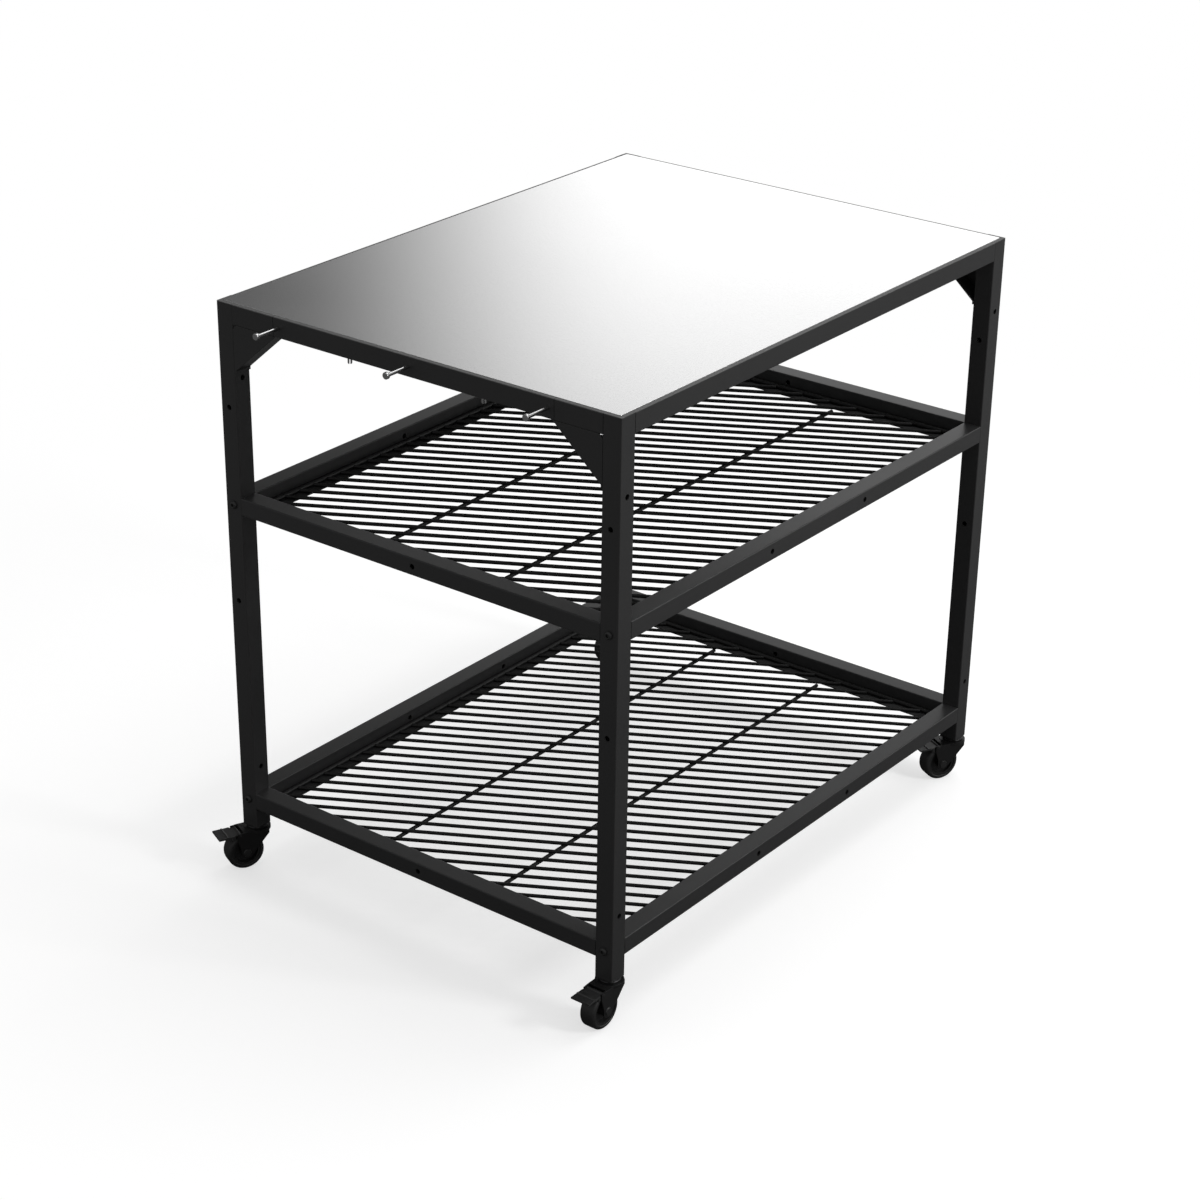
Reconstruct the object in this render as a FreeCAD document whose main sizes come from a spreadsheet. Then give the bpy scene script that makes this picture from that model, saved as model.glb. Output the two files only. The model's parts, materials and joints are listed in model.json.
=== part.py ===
import FreeCAD, Part
import os
import re
import Sketcher

# An outdoor table for a pizza oven: a square-tube frame on four braked swivel casters,
# a stainless worktop sheet, two shelf frames with loose wire grilles, and three hanging pegs.
# Millimetres, +Z up. X runs across the short side and Y along the long side.
# The pegs are on the front, which faces -Y. The origin is on the floor, under the middle of
# the outline that the frame and the turned casters make together.

os.makedirs("parts", exist_ok=True)
V = FreeCAD.Vector
doc = FreeCAD.newDocument("oven_table")
sheet = doc.addObject("Spreadsheet::Sheet", "Sizes")

SIZES = [
    ("frame_wide", 600, "outside of the frame across X"),
    ("frame_long", 800, "outside of the frame along Y"),
    ("frame_top", 768.5, "top of the tubes above the floor"),
    ("frame_x", 9.3, "middle of the frame from the origin, along X"),
    ("frame_y", 19.9, "middle of the frame from the origin, along Y"),
    ("tube", 25, "side of the square tube"),
    ("tube_wall", 2, "wall of all the tubes"),
    ("tube_round", 1.2, "outer corner radius of the tubes"),
    ("rail_hole", 7, "cross holes in the legs and shelf rails"),
    ("hole_front_high", 132, "upper cross hole along Y, below the frame top"),
    ("hole_front_low", 388, "lower cross hole along Y, below the frame top"),
    ("hole_side_high", 94.5, "upper cross hole along X, below the frame top"),
    ("hole_side_low", 146, "lower cross hole along X, above the floor"),
    ("stub_long", 66, "corner stub of the front and back top rails"),
    ("seam_gap", 0.6, "gap at each seam of those rails"),
    ("sleeve_long", 120, "sleeve inside each seam"),
    ("sleeve_play", 0.1, "play of the sleeve on each side"),
    ("gusset_drop", 57, "height of the corner gusset below the rail"),
    ("gusset_sheet", 2, "sheet of the gusset"),
    ("gusset_tab", 5, "tab of the gusset along the leg"),
    ("gusset_clip", 5.5, "clipped inner corner of the gusset"),
    ("sheet_thick", 1.5, "worktop sheet"),
    ("sheet_reveal", 5, "tube left bare round the worktop sheet"),
    ("sheet_round", 3, "corner radius of the worktop sheet"),
    ("stay_wide", 40, "stiffening channel under the sheet, width"),
    ("stay_deep", 20, "stiffening channel, depth"),
    ("stay_sheet", 1.5, "stiffening channel, sheet"),
    ("stay_place", 150, "stiffening channels from the middle, along Y"),
    ("stay_play", 0.5, "end gap of the channels"),
    ("clip_dia", 5.5, "split clips that hold the worktop"),
    ("clip_below", 11, "clip end below the rail"),
    ("clip_slot", 1.4, "slot of the clip end"),
    ("clip_hole_play", 0.1, "radial play of the clip in its holes"),
    ("clip_inset", 49, "clips from the inner ends of the sleeves, towards the middle"),
    ("peg_inset", 9, "outer hanging pegs from the seams, towards the middle one"),
    ("peg_dia", 4.8, "peg rod"),
    ("peg_reach", 39, "peg end from the rail face"),
    ("peg_head_dia", 8.5, "peg head"),
    ("peg_head_long", 4.5, "peg head length"),
    ("peg_tail", 8, "threaded end of the peg behind the rail face"),
    ("thread_play", 0.05, "radial play that stands for a thread"),
    ("shelf_rail_tall", 22.5, "height of the shelf rails"),
    ("mid_drop", 247.5, "top of the middle shelf rails below the frame top"),
    ("low_up", 110.1, "top of the low shelf rails above the floor"),
    ("side_hole_place", 100, "cross holes of the side shelf rails from the middle"),
    ("end_cap", 3, "end wall of the long shelf rails"),
    ("ledge_wide", 20, "ledge inside the shelf rails"),
    ("ledge_thick", 1.5, "ledge sheet"),
    ("rim_rod", 6, "rim rod of the grille"),
    ("rim_play", 2, "gap between the rim rod and the rails"),
    ("bar_dia", 5, "diagonal bars of the grille"),
    ("bar_pitch", 25, "spacing of the bars along Y"),
    ("bar_turn", 30, "angle of the bars from X"),
    ("under_rod", 6, "rods under the bars"),
    ("under_place", 88, "rods under the bars from the middle"),
    ("under_short", 5, "rod ends from the inner edge of the ledge"),
    ("bolt_dia", 6, "shelf bolts"),
    ("bolt_hole", 6.6, "clearance hole of the shelf bolts"),
    ("bolt_head_dia", 10.5, "button head"),
    ("bolt_head_tall", 3.3, "button head height"),
    ("bolt_socket", 4, "hexagon socket across flats"),
    ("bolt_socket_deep", 2, "hexagon socket depth"),
    ("bolt_past", 7, "bolt past the leg"),
    ("plug_flange", 2, "flange of the leg plug"),
    ("plug_tall", 22, "plug inside the leg"),
    ("plug_play", 0.2, "play of the plug in the leg, each side"),
    ("wheel_dia", 50, "wheel over the tyre"),
    ("tyre_wide", 21, "tyre width"),
    ("tyre_round", 4, "tyre shoulder radius"),
    ("tyre_thick", 5.5, "tyre from the wheel centre to the tread"),
    ("rim_wide", 18, "wheel rim width"),
    ("rim_deep", 3, "wheel rim thickness"),
    ("web_thick", 6, "wheel web"),
    ("hub_dia", 14, "wheel hub"),
    ("hub_wide", 22.4, "wheel hub length"),
    ("axle_dia", 6, "wheel axle"),
    ("axle_play", 0.08, "radial play of the wheel on its axle"),
    ("axle_head_dia", 11, "axle head"),
    ("axle_head_tall", 1.6, "axle head height"),
    ("trail", 20, "wheel centre behind the swivel axis"),
    ("fork_gap", 23.4, "space between the fork cheeks"),
    ("fork_cheek", 2.2, "thickness of a cheek"),
    ("fork_boss", 16, "round end of a cheek at the axle"),
    ("crown_dia", 35, "round crown of the fork"),
    ("crown_thick", 3.7, "crown thickness"),
    ("crown_over", 2, "crown above the top of the wheel"),
    ("crown_play", 0.3, "running gap above and below the crown"),
    ("race_dia", 27, "bearing cap above the crown"),
    ("race_tall", 2.5, "bearing cap height"),
    ("stem_dia", 8, "swivel stem"),
    ("stem_play", 0.08, "radial play of the crown on the stem"),
    ("stem_head_dia", 13, "riveted head of the stem"),
    ("stem_head_tall", 2.4, "riveted head height"),
    ("stem_up", 20, "stem above the leg's end"),
    ("pedal_wide", 27, "brake pedal width"),
    ("pedal_thick", 2.4, "brake pedal plate"),
    ("pedal_tip", 57, "pedal tip from the swivel axis"),
    ("pedal_start", 34.5, "wide plate of the pedal from the swivel axis"),
    ("pivot_back", 28, "pedal pivot behind the swivel axis"),
    ("pivot_over", 1.8, "pedal pivot above the top of the wheel"),
    ("pivot_barrel", 4.6, "pedal barrel diameter"),
    ("pivot_pin", 3, "pedal journals"),
    ("pivot_play", 0.06, "radial play of the journals"),
    ("pedal_side_play", 0.3, "gap between the barrel and each cheek"),
    ("shoe_back", 36.5, "brake shoe behind the swivel axis"),
    ("shoe_long", 4, "brake shoe length"),
    ("shoe_drop", 3.6, "brake shoe below the plate"),
    ("ridge_tall", 1.2, "foot ridge on the pedal"),
    ("ridge_wide", 2.6, "foot ridge width"),
    ("ridge_back", 45, "foot ridge behind the swivel axis"),
    ("head_front_left", -25, "heading of this caster, degrees about Z"),
    ("head_front_right", 0, "heading of this caster"),
    ("head_back_left", -6, "heading of this caster"),
    ("head_back_right", -28, "heading of this caster"),
]

for row, (alias, number, meaning) in enumerate(SIZES, start=1):
    sheet.set(f"A{row}", alias)
    sheet.set(f"B{row}", str(number))
    sheet.setAlias(f"B{row}", alias)
    sheet.set(f"C{row}", meaning)
doc.recompute()


def bound(text):
    """The same expression with each size read from the sheet."""
    return re.sub("[a-z_]+", lambda word: "Sizes." + word[0] if word[0] in ALIASES else word[0], text)


def worth(text):
    """The value of an expression, in millimetres or degrees."""
    return float(sheet.evalExpression(bound(text)))


ALIASES = {alias for alias, number, meaning in SIZES}

# Places that several pieces share
LEG_X = "( frame_wide / 2 - tube / 2 )"
LEG_Y = "( frame_long / 2 - tube / 2 )"
INSIDE_X = "( frame_wide / 2 - tube )"
INSIDE_Y = "( frame_long / 2 - tube )"
RAIL_MID = "( frame_top - tube / 2 )"
SEAM_X = f"( {INSIDE_X} - stub_long )"
CLIP_HOLE = "( clip_dia + 2 * clip_hole_play )"
PEG_HOLE = "( peg_dia + 2 * thread_play )"
CHEEK_OUT = "( fork_gap / 2 + fork_cheek )"
CROWN_LOW = "( wheel_dia + crown_over )"
RACE_LOW = f"( {CROWN_LOW} + crown_thick + crown_play )"
LEG_END = f"( {RACE_LOW} + race_tall )"
LEG_FOOT = f"( {LEG_END} + plug_flange )"
LEG_LONG = f"( frame_top - {LEG_FOOT} )"
PIVOT_UP = "( wheel_dia + pivot_over )"
RIM_DIA = "( wheel_dia - 2 * tyre_thick )"
PEG_PLACE = f"( {SEAM_X} - peg_inset )"
CLIP_PLACE = f"( {SEAM_X} - sleeve_long / 2 - clip_inset )"
CORNERS = {
    "front_left": (-1, -1),
    "front_right": (1, -1),
    "back_left": (-1, 1),
    "back_right": (1, 1),
}
SHELVES = {"mid": "mid_drop", "low": "( frame_top - low_up )"}


def new_body(name):
    """An empty sub-part with its own label."""
    body = doc.addObject("PartDesign::Body", name)
    body.Label = name
    return body


def origin_feature(body, role):
    """One of the sub-part's own planes or axes."""
    return next(item for item in body.Origin.OriginFeatures if item.Role == role)


def place(body, across="0", along="0", up="0", turn=None):
    """Puts a sub-part at a place measured from the middle of the frame and the floor."""
    if turn is not None:
        body.Placement = FreeCAD.Placement(V(), FreeCAD.Rotation(V(0, 0, 1), 1))
        body.setExpression("Placement.Rotation.Angle", bound(turn))
    body.setExpression("Placement.Base.x", bound(f"frame_x + {across}"))
    body.setExpression("Placement.Base.y", bound(f"frame_y + {along}"))
    body.setExpression("Placement.Base.z", bound(up))


def new_sketch(body, role, offset=("0", "0", "0"), turn=None):
    """A sketch on one of the sub-part's own planes, moved by an offset in that plane's axes."""
    sketch = body.newObject("Sketcher::SketchObject", body.Name + "_sketch")
    sketch.AttachmentSupport = (origin_feature(body, role), [""])
    sketch.MapMode = "FlatFace"
    if turn is not None:
        sketch.AttachmentOffset = FreeCAD.Placement(V(), FreeCAD.Rotation(V(0, 1, 0), 1))
        sketch.setExpression("AttachmentOffset.Rotation.Angle", bound(turn))
    for letter, amount in zip("xyz", offset):
        if amount != "0":
            sketch.setExpression(f"AttachmentOffset.Base.{letter}", bound(amount))
    return sketch


def fix_point(sketch, geometry, end, across, up):
    """Ties a point of a sketch to its two coordinates."""
    for kind, axis, amount in (("DistanceX", -2, across), ("DistanceY", -1, up)):
        if amount == "0":
            sketch.addConstraint(Sketcher.Constraint("PointOnObject", geometry, end, axis))
            continue
        value = worth(amount)
        index = sketch.addConstraint(Sketcher.Constraint(kind, -1, 1, geometry, end, value))
        sketch.setExpression(f"Constraints[{index}]", bound(amount))


def draw_polygon(sketch, points):
    """A closed outline through points given as pairs of expressions."""
    spots = [V(worth(across), worth(up), 0) for across, up in points]
    first = sketch.GeometryCount
    count = len(spots)
    for step in range(count):
        sketch.addGeometry(Part.LineSegment(spots[step], spots[(step + 1) % count]), False)
    for step in range(count):
        after = first + (step + 1) % count
        sketch.addConstraint(Sketcher.Constraint("Coincident", first + step, 2, after, 1))
    for step, (across, up) in enumerate(points):
        fix_point(sketch, first + step, 1, across, up)


def draw_box(sketch, left, low, right, high):
    """A rectangle between two corners."""
    draw_polygon(sketch, [(left, low), (right, low), (right, high), (left, high)])


def draw_centred_box(sketch, wide, high):
    """A rectangle about the middle of the sketch."""
    draw_box(sketch, f"- {wide} / 2", f"- {high} / 2", f"{wide} / 2", f"{high} / 2")


def draw_circle(sketch, across, up, diameter):
    """A circle with its centre and diameter tied."""
    spot = V(worth(across), worth(up), 0)
    circle = Part.Circle(spot, V(0, 0, 1), worth(diameter) / 2)
    index = sketch.addGeometry(circle, False)
    fix_point(sketch, index, 3, across, up)
    size = sketch.addConstraint(Sketcher.Constraint("Diameter", index, worth(diameter)))
    sketch.setExpression(f"Constraints[{size}]", bound(diameter))


def extrude(body, sketch, length, both_ways=False, backwards=False):
    """Adds the sketch's outline as a solid."""
    pad = body.newObject("PartDesign::Pad", body.Name + "_pad")
    pad.Profile = sketch
    pad.SideType = "Symmetric" if both_ways else "One side"
    pad.Reversed = backwards
    pad.setExpression("Length", bound(length))
    return pad


def cut(body, sketch, length=None, backwards=False):
    """Cuts the sketch's outline away, right through both ways unless a depth is given."""
    pocket = body.newObject("PartDesign::Pocket", body.Name + "_pocket")
    pocket.Profile = sketch
    if length is None:
        pocket.Type = "ThroughAll"
        pocket.SideType = "Symmetric"
    else:
        pocket.Reversed = backwards
        pocket.setExpression("Length", bound(length))
    return pocket


def revolve(body, sketch, axis):
    """Turns the sketch's outline about one of the sketch's own axes."""
    turned = body.newObject("PartDesign::Revolution", body.Name + "_turned")
    turned.Profile = sketch
    turned.ReferenceAxis = (sketch, [axis])
    turned.Angle = 360
    return turned


def round_edges(body, radius, test):
    """Rounds those edges of the sub-part that pass the test."""
    doc.recompute()
    base = body.Tip
    names = [f"Edge{n}" for n, edge in enumerate(base.Shape.Edges, start=1) if test(edge)]
    if not names:
        raise RuntimeError(f"{body.Label} has no such edge to round")
    rounded = body.newObject("PartDesign::Fillet", body.Name + "_round")
    rounded.Base = (base, names)
    rounded.setExpression("Radius", bound(radius))
    return rounded


def bevel_low_edges(body, depth):
    """Bevels every edge of the sub-part's lowest face."""
    doc.recompute()
    base = body.Tip
    faces = base.Shape.Faces
    lowest = min(range(len(faces)), key=lambda index: faces[index].CenterOfMass.z)
    bevel = body.newObject("PartDesign::Chamfer", body.Name + "_bevel")
    bevel.Base = (base, [f"Face{lowest + 1}"])
    bevel.setExpression("Size", bound(depth))
    return bevel


def along_axis(letter):
    """A test for straight edges that run along one axis."""
    direction = {"x": V(1, 0, 0), "y": V(0, 1, 0), "z": V(0, 0, 1)}[letter]

    def test(edge):
        if edge.Curve.TypeId != "Part::GeomLine":
            return False
        return abs(abs(edge.tangentAt(edge.FirstParameter).dot(direction)) - 1) < 1e-6

    return test


def make_tube(name, letter, length, tall="tube", closed_end=None):
    """A square tube along one axis, about its own middle, with rounded long edges."""
    role = {"x": "YZ_Plane", "y": "XZ_Plane", "z": "XY_Plane"}[letter]
    body = new_body(name)
    outside = new_sketch(body, role)
    draw_centred_box(outside, "tube", tall)
    extrude(body, outside, length, both_ways=True)
    round_edges(body, "tube_round", along_axis(letter))
    inside = new_sketch(body, role)
    draw_centred_box(inside, "( tube - 2 * tube_wall )", f"( {tall} - 2 * tube_wall )")
    if closed_end is None:
        cut(body, inside)
    else:
        hollow = cut(body, inside, f"( {length} - 2 * {closed_end} )")
        hollow.SideType = "Symmetric"
    return body


def drill(body, role, spots, diameter):
    """Round holes right through, at places in one of the sub-part's planes."""
    sketch = new_sketch(body, role)
    for across, up in spots:
        draw_circle(sketch, across, up, diameter)
    cut(body, sketch)


def group(name, members):
    """One node for like pieces that stay separate solids."""
    together = doc.addObject("Part::Compound", name)
    together.Label = name
    together.Links = members
    return together


def signed(sign, text):
    """The expression with a plus or minus in front."""
    return f"- {text}" if sign < 0 else text


def make_leg(name, side, end):
    """A leg tube, closed at the top, with its cross holes and the shelf bolt holes."""
    body = new_body(name)
    outside = new_sketch(body, "XY_Plane")
    draw_centred_box(outside, "tube", "tube")
    extrude(body, outside, LEG_LONG)
    round_edges(body, "tube_round", along_axis("z"))
    inside = new_sketch(body, "XY_Plane")
    draw_centred_box(inside, "( tube - 2 * tube_wall )", "( tube - 2 * tube_wall )")
    cut(body, inside, f"( {LEG_LONG} - tube_wall )", backwards=True)
    front_holes = [("0", f"( {LEG_LONG} - {drop} )") for drop in ("hole_front_high", "hole_front_low")]
    drill(body, "XZ_Plane", front_holes, "rail_hole")
    side_holes = [("0", f"( {LEG_LONG} - hole_side_high )"), ("0", f"( hole_side_low - {LEG_FOOT} )")]
    drill(body, "YZ_Plane", side_holes, "rail_hole")
    bolts = [("0", f"( {LEG_LONG} - {drop} - shelf_rail_tall / 2 )") for drop in SHELVES.values()]
    drill(body, "XZ_Plane", bolts, "bolt_hole")
    place(body, signed(side, LEG_X), signed(end, LEG_Y), LEG_FOOT)
    return body


def make_side_rail(name, side):
    """A long top rail between two legs."""
    body = make_tube(name, "y", f"2 * {INSIDE_Y}")
    place(body, signed(side, LEG_X), "0", RAIL_MID)
    return body


def make_end_rail(name, end):
    """The middle length of a short top rail. The front one is drilled for the pegs."""
    body = make_tube(name, "x", f"( 2 * {SEAM_X} - 2 * seam_gap )")
    spots = [(CLIP_PLACE, "0"), (signed(-1, CLIP_PLACE), "0")]
    drill(body, "XY_Plane", spots, CLIP_HOLE)
    if end < 0:
        drill_front_wall(body, [signed(-1, PEG_PLACE), "0", PEG_PLACE], "tube / 2")
    place(body, "0", signed(end, LEG_Y), RAIL_MID)
    return body


def drill_front_wall(body, places, depth):
    """Peg holes through the front wall of a tube only."""
    sketch = new_sketch(body, "XZ_Plane")
    for across in places:
        draw_circle(sketch, across, "0", PEG_HOLE)
    cut(body, sketch, depth, backwards=True)


def make_stub(name, side, end):
    """A corner stub of a short top rail, welded to its leg."""
    body = make_tube(name, "x", "stub_long")
    place(body, signed(side, f"( {INSIDE_X} - stub_long / 2 )"), signed(end, LEG_Y), RAIL_MID)
    return body


def make_sleeve(name, side, end):
    """The inner tube that joins a stub to the middle of its rail."""
    body = new_body(name)
    outer = "( tube - 2 * tube_wall - 2 * sleeve_play )"
    inner = "( tube - 4 * tube_wall - 2 * sleeve_play )"
    sketch = new_sketch(body, "YZ_Plane")
    draw_centred_box(sketch, outer, outer)
    draw_centred_box(sketch, inner, inner)
    extrude(body, sketch, "sleeve_long", both_ways=True)
    if end < 0:
        drill_front_wall(body, [signed(-side, "peg_inset")], "tube / 2")
    place(body, signed(side, SEAM_X), signed(end, LEG_Y), RAIL_MID)
    return body


def make_gusset(name, side, end):
    """A corner plate flush with the end face, with a deep lip along its slanted edge."""
    body = new_body(name)
    tip = signed(-side, "stub_long")
    clip = signed(-side, "gusset_clip")
    slope = "( gusset_drop / stub_long )"
    outline = [
        (tip, "0"),
        ("0", "- gusset_drop"),
        ("0", "- gusset_clip"),
        (clip, "0"),
    ]
    plate = new_sketch(body, "XZ_Plane")
    draw_polygon(plate, outline)
    extrude(body, plate, "gusset_sheet", backwards=end < 0)
    thick = f"( gusset_sheet * sqrt( 1 + {slope} * {slope} ) )"
    run = f"( gusset_sheet * sqrt( 1 + 1 / ( {slope} * {slope} ) ) )"
    sheet_in = signed(-side, "gusset_sheet")
    lip = [
        (tip, "0"),
        ("0", "- gusset_drop"),
        ("0", "( - gusset_drop - gusset_tab )"),
        (sheet_in, "( - gusset_drop - gusset_tab )"),
        (sheet_in, f"( - gusset_drop - {thick} + {slope} * gusset_sheet )"),
        (signed(-side, f"( stub_long + {run} )"), "0"),
    ]
    fold = new_sketch(body, "XZ_Plane")
    draw_polygon(fold, lip)
    extrude(body, fold, "tube", backwards=end < 0)
    place(body, signed(side, INSIDE_X), signed(end, "frame_long / 2"), "( frame_top - tube )")
    return body


def make_worktop():
    """The flat stainless sheet that lies on the tubes."""
    body = new_body("worktop_sheet")
    sketch = new_sketch(body, "XY_Plane")
    draw_centred_box(sketch, "( frame_wide - 2 * sheet_reveal )", "( frame_long - 2 * sheet_reveal )")
    extrude(body, sketch, "sheet_thick")
    round_edges(body, "sheet_round", along_axis("z"))
    place(body, up="frame_top")
    return body


def make_stay(name, end):
    """A stiffening channel welded under the sheet, open below."""
    body = new_body(name)
    sketch = new_sketch(body, "YZ_Plane")
    inner = "( stay_wide / 2 - stay_sheet )"
    draw_polygon(sketch, [
        ("- stay_wide / 2", "- stay_deep"),
        ("- stay_wide / 2", "0"),
        ("stay_wide / 2", "0"),
        ("stay_wide / 2", "- stay_deep"),
        (inner, "- stay_deep"),
        (inner, "- stay_sheet"),
        (f"- {inner}", "- stay_sheet"),
        (f"- {inner}", "- stay_deep"),
    ])
    extrude(body, sketch, f"( 2 * {INSIDE_X} - 2 * stay_play )", both_ways=True)
    place(body, along=signed(end, "stay_place"), up="frame_top")
    return body


def make_clip(name, across, along):
    """A split clip from the sheet down through a top rail, its two prongs below the rail."""
    body = new_body(name)
    length = "( tube + clip_below )"
    sketch = new_sketch(body, "XY_Plane")
    draw_circle(sketch, "0", "0", "clip_dia")
    extrude(body, sketch, length, backwards=True)
    slot = new_sketch(body, "YZ_Plane")
    draw_box(slot, "- clip_slot / 2", f"( - {length} - 1 )", "clip_slot / 2", "- tube - clip_slot")
    cut(body, slot)
    place(body, across, along, "frame_top")
    return body


def make_peg(name, across):
    """A hanging peg: a rod screwed through the front rail, with a round head."""
    body = new_body(name)
    sketch = new_sketch(body, "YZ_Plane")
    draw_polygon(sketch, [
        ("peg_tail", "0"),
        ("peg_tail", "peg_dia / 2"),
        ("- peg_reach + peg_head_long", "peg_dia / 2"),
        ("- peg_reach + peg_head_long", "peg_head_dia / 2"),
        ("- peg_reach", "peg_head_dia / 2"),
        ("- peg_reach", "0"),
    ])
    revolve(body, sketch, "H_Axis")
    place(body, across, "- frame_long / 2", RAIL_MID)
    return body


def make_long_shelf_rail(name, side, drop):
    """A long shelf rail with end walls that take the shelf bolts."""
    body = make_tube(name, "y", f"2 * {INSIDE_Y}", "shelf_rail_tall", "end_cap")
    drill(body, "XZ_Plane", [("0", "0")], "( bolt_dia + 2 * thread_play )")
    drill(body, "YZ_Plane", [("side_hole_place", "0"), ("- side_hole_place", "0")], "rail_hole")
    place(body, signed(side, LEG_X), "0", f"( frame_top - {drop} - shelf_rail_tall / 2 )")
    return body


def make_short_shelf_rail(name, end, drop):
    """A short shelf rail with one cross hole in its middle."""
    body = make_tube(name, "x", f"2 * {INSIDE_X}", "shelf_rail_tall")
    drill(body, "XZ_Plane", [("0", "0")], "rail_hole")
    place(body, "0", signed(end, LEG_Y), f"( frame_top - {drop} - shelf_rail_tall / 2 )")
    return body


def make_ledge(name, drop):
    """A flat strip all round inside the shelf rails, level with their underside."""
    body = new_body(name)
    sketch = new_sketch(body, "XY_Plane")
    draw_centred_box(sketch, f"( 2 * {INSIDE_X} )", f"( 2 * {INSIDE_Y} )")
    draw_centred_box(
        sketch,
        f"( 2 * {INSIDE_X} - 2 * ledge_wide )",
        f"( 2 * {INSIDE_Y} - 2 * ledge_wide )",
    )
    extrude(body, sketch, "ledge_thick")
    place(body, up=f"( frame_top - {drop} - shelf_rail_tall )")
    return body


def make_rim(name, rim_x, rim_y):
    """The rim of a grille: a round rod mitred at its four corners."""
    body = new_body(name)
    path = new_sketch(body, "XY_Plane")
    draw_polygon(path, [
        (rim_x, "0"),
        (rim_x, rim_y),
        (f"- {rim_x}", rim_y),
        (f"- {rim_x}", f"- {rim_y}"),
        (rim_x, f"- {rim_y}"),
    ])
    section = new_sketch(body, "XZ_Plane")
    draw_circle(section, rim_x, "0", "rim_rod")
    pipe = body.newObject("PartDesign::AdditivePipe", name + "_pipe")
    pipe.Profile = section
    pipe.Spine = path
    pipe.Transition = "Right corner"
    return body


def make_bars(name, trim_x, trim_y):
    """The diagonal bars, of eight sides: one bar repeated along Y, then cut off at the rim."""
    body = new_body(name)
    drop = "( bar_dia / 2 - rim_rod / 2 )"
    overrun = f"( {trim_y} + {trim_x} * tan( bar_turn * 1 deg ) )"
    each_way = f"floor( {overrun} / bar_pitch )"
    section = new_sketch(body, "YZ_Plane", (f"- bar_pitch * {each_way}", "0", "0"), "bar_turn")
    flat = "bar_dia / 2"
    corner = "bar_dia / 2 * tan( 22.5 deg )"
    ring = [(flat, corner), (corner, flat), (f"- {corner}", flat), (f"- {flat}", corner)]
    ring += [(f"- ( {across} )", f"- ( {up} )") for across, up in ring]
    draw_polygon(section, [(across, f"{up} + {drop}") for across, up in ring])
    bar = extrude(body, section, f"2 * ( {trim_x} / cos( bar_turn * 1 deg ) + bar_dia )", both_ways=True)
    row = body.newObject("PartDesign::LinearPattern", name + "_row")
    row.Originals = [bar]
    row.Direction = (origin_feature(body, "Y_Axis"), [""])
    row.setExpression("Length", bound(f"2 * bar_pitch * {each_way}"))
    row.setExpression("Occurrences", bound(f"2 * {each_way} + 1"))
    body.Tip = row
    edge = new_sketch(body, "XY_Plane")
    draw_centred_box(edge, "( 2 * frame_wide )", "( 2 * frame_long )")
    draw_centred_box(edge, f"( 2 * {trim_x} )", f"( 2 * {trim_y} )")
    cut(body, edge)
    return body


def make_under_rods(name, rod_y):
    """Two straight rods under the bars, lengthways."""
    body = new_body(name)
    section = new_sketch(body, "XZ_Plane")
    low = "( bar_dia / 2 - rim_rod / 2 - bar_dia / 2 - under_rod / 2 )"
    for side in (-1, 1):
        draw_circle(section, signed(side, "under_place"), low, "under_rod")
    extrude(body, section, f"( 2 * {rod_y} )", both_ways=True)
    return body


def make_grille(name, drop):
    """A loose wire grille that lies on the ledge of a shelf."""
    rim_x = f"( {INSIDE_X} - rim_play - rim_rod / 2 )"
    rim_y = f"( {INSIDE_Y} - rim_play - rim_rod / 2 )"
    members = [
        make_rim(name + "_rim", rim_x, rim_y),
        make_bars(name + "_bars", f"( {rim_x} - rim_rod / 2 )", f"( {rim_y} - rim_rod / 2 )"),
        make_under_rods(name + "_rods", f"( {INSIDE_Y} - ledge_wide - under_short )"),
    ]
    for body in members:
        place(body, up=f"( frame_top - {drop} - shelf_rail_tall + ledge_thick + rim_rod / 2 )")
    return group(name, members)


def make_bolt(name, side, end, drop):
    """A button-head bolt through a leg into the end wall of a long shelf rail."""
    body = new_body(name)
    sketch = new_sketch(body, "YZ_Plane")
    shank = "( tube + bolt_past )"
    shoulder = "( bolt_head_dia / 2 - bolt_head_tall * 0.6 )"
    draw_polygon(sketch, [
        (signed(-end, shank), "0"),
        (signed(-end, shank), "bolt_dia / 2"),
        ("0", "bolt_dia / 2"),
        ("0", "bolt_head_dia / 2"),
        (signed(end, "bolt_head_tall * 0.4"), "bolt_head_dia / 2"),
        (signed(end, "bolt_head_tall"), shoulder),
        (signed(end, "bolt_head_tall"), "0"),
    ])
    revolve(body, sketch, "H_Axis")
    socket = new_sketch(body, "XZ_Plane", ("0", "0", signed(-end, "bolt_head_tall")))
    corner = "( bolt_socket / 2 / cos( 30 deg ) )"
    ring = [(f"{corner} * cos( {angle} deg )", f"{corner} * sin( {angle} deg )")
            for angle in (10, 70, 130, 190, 250, 310)]
    draw_polygon(socket, ring)
    cut(body, socket, "bolt_socket_deep", backwards=end > 0)
    up = f"( frame_top - {drop} - shelf_rail_tall / 2 )"
    place(body, signed(side, LEG_X), signed(end, "frame_long / 2"), up)
    return body


def make_plug(name, side, end):
    """A square plug in the leg's end, with a bevelled flange and the hole for the stem."""
    body = new_body(name)
    inner = "( tube - 2 * tube_wall - 2 * plug_play )"
    flange = new_sketch(body, "XY_Plane")
    draw_centred_box(flange, "tube", "tube")
    extrude(body, flange, "plug_flange", backwards=True)
    round_edges(body, "tube_round", along_axis("z"))
    bevel_low_edges(body, "plug_flange * 0.4")
    insert = new_sketch(body, "XY_Plane")
    draw_centred_box(insert, inner, inner)
    extrude(body, insert, "plug_tall")
    drill(body, "XY_Plane", [("0", "0")], "( stem_dia + 2 * thread_play )")
    place(body, signed(side, LEG_X), signed(end, LEG_Y), LEG_FOOT)
    return body


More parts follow.
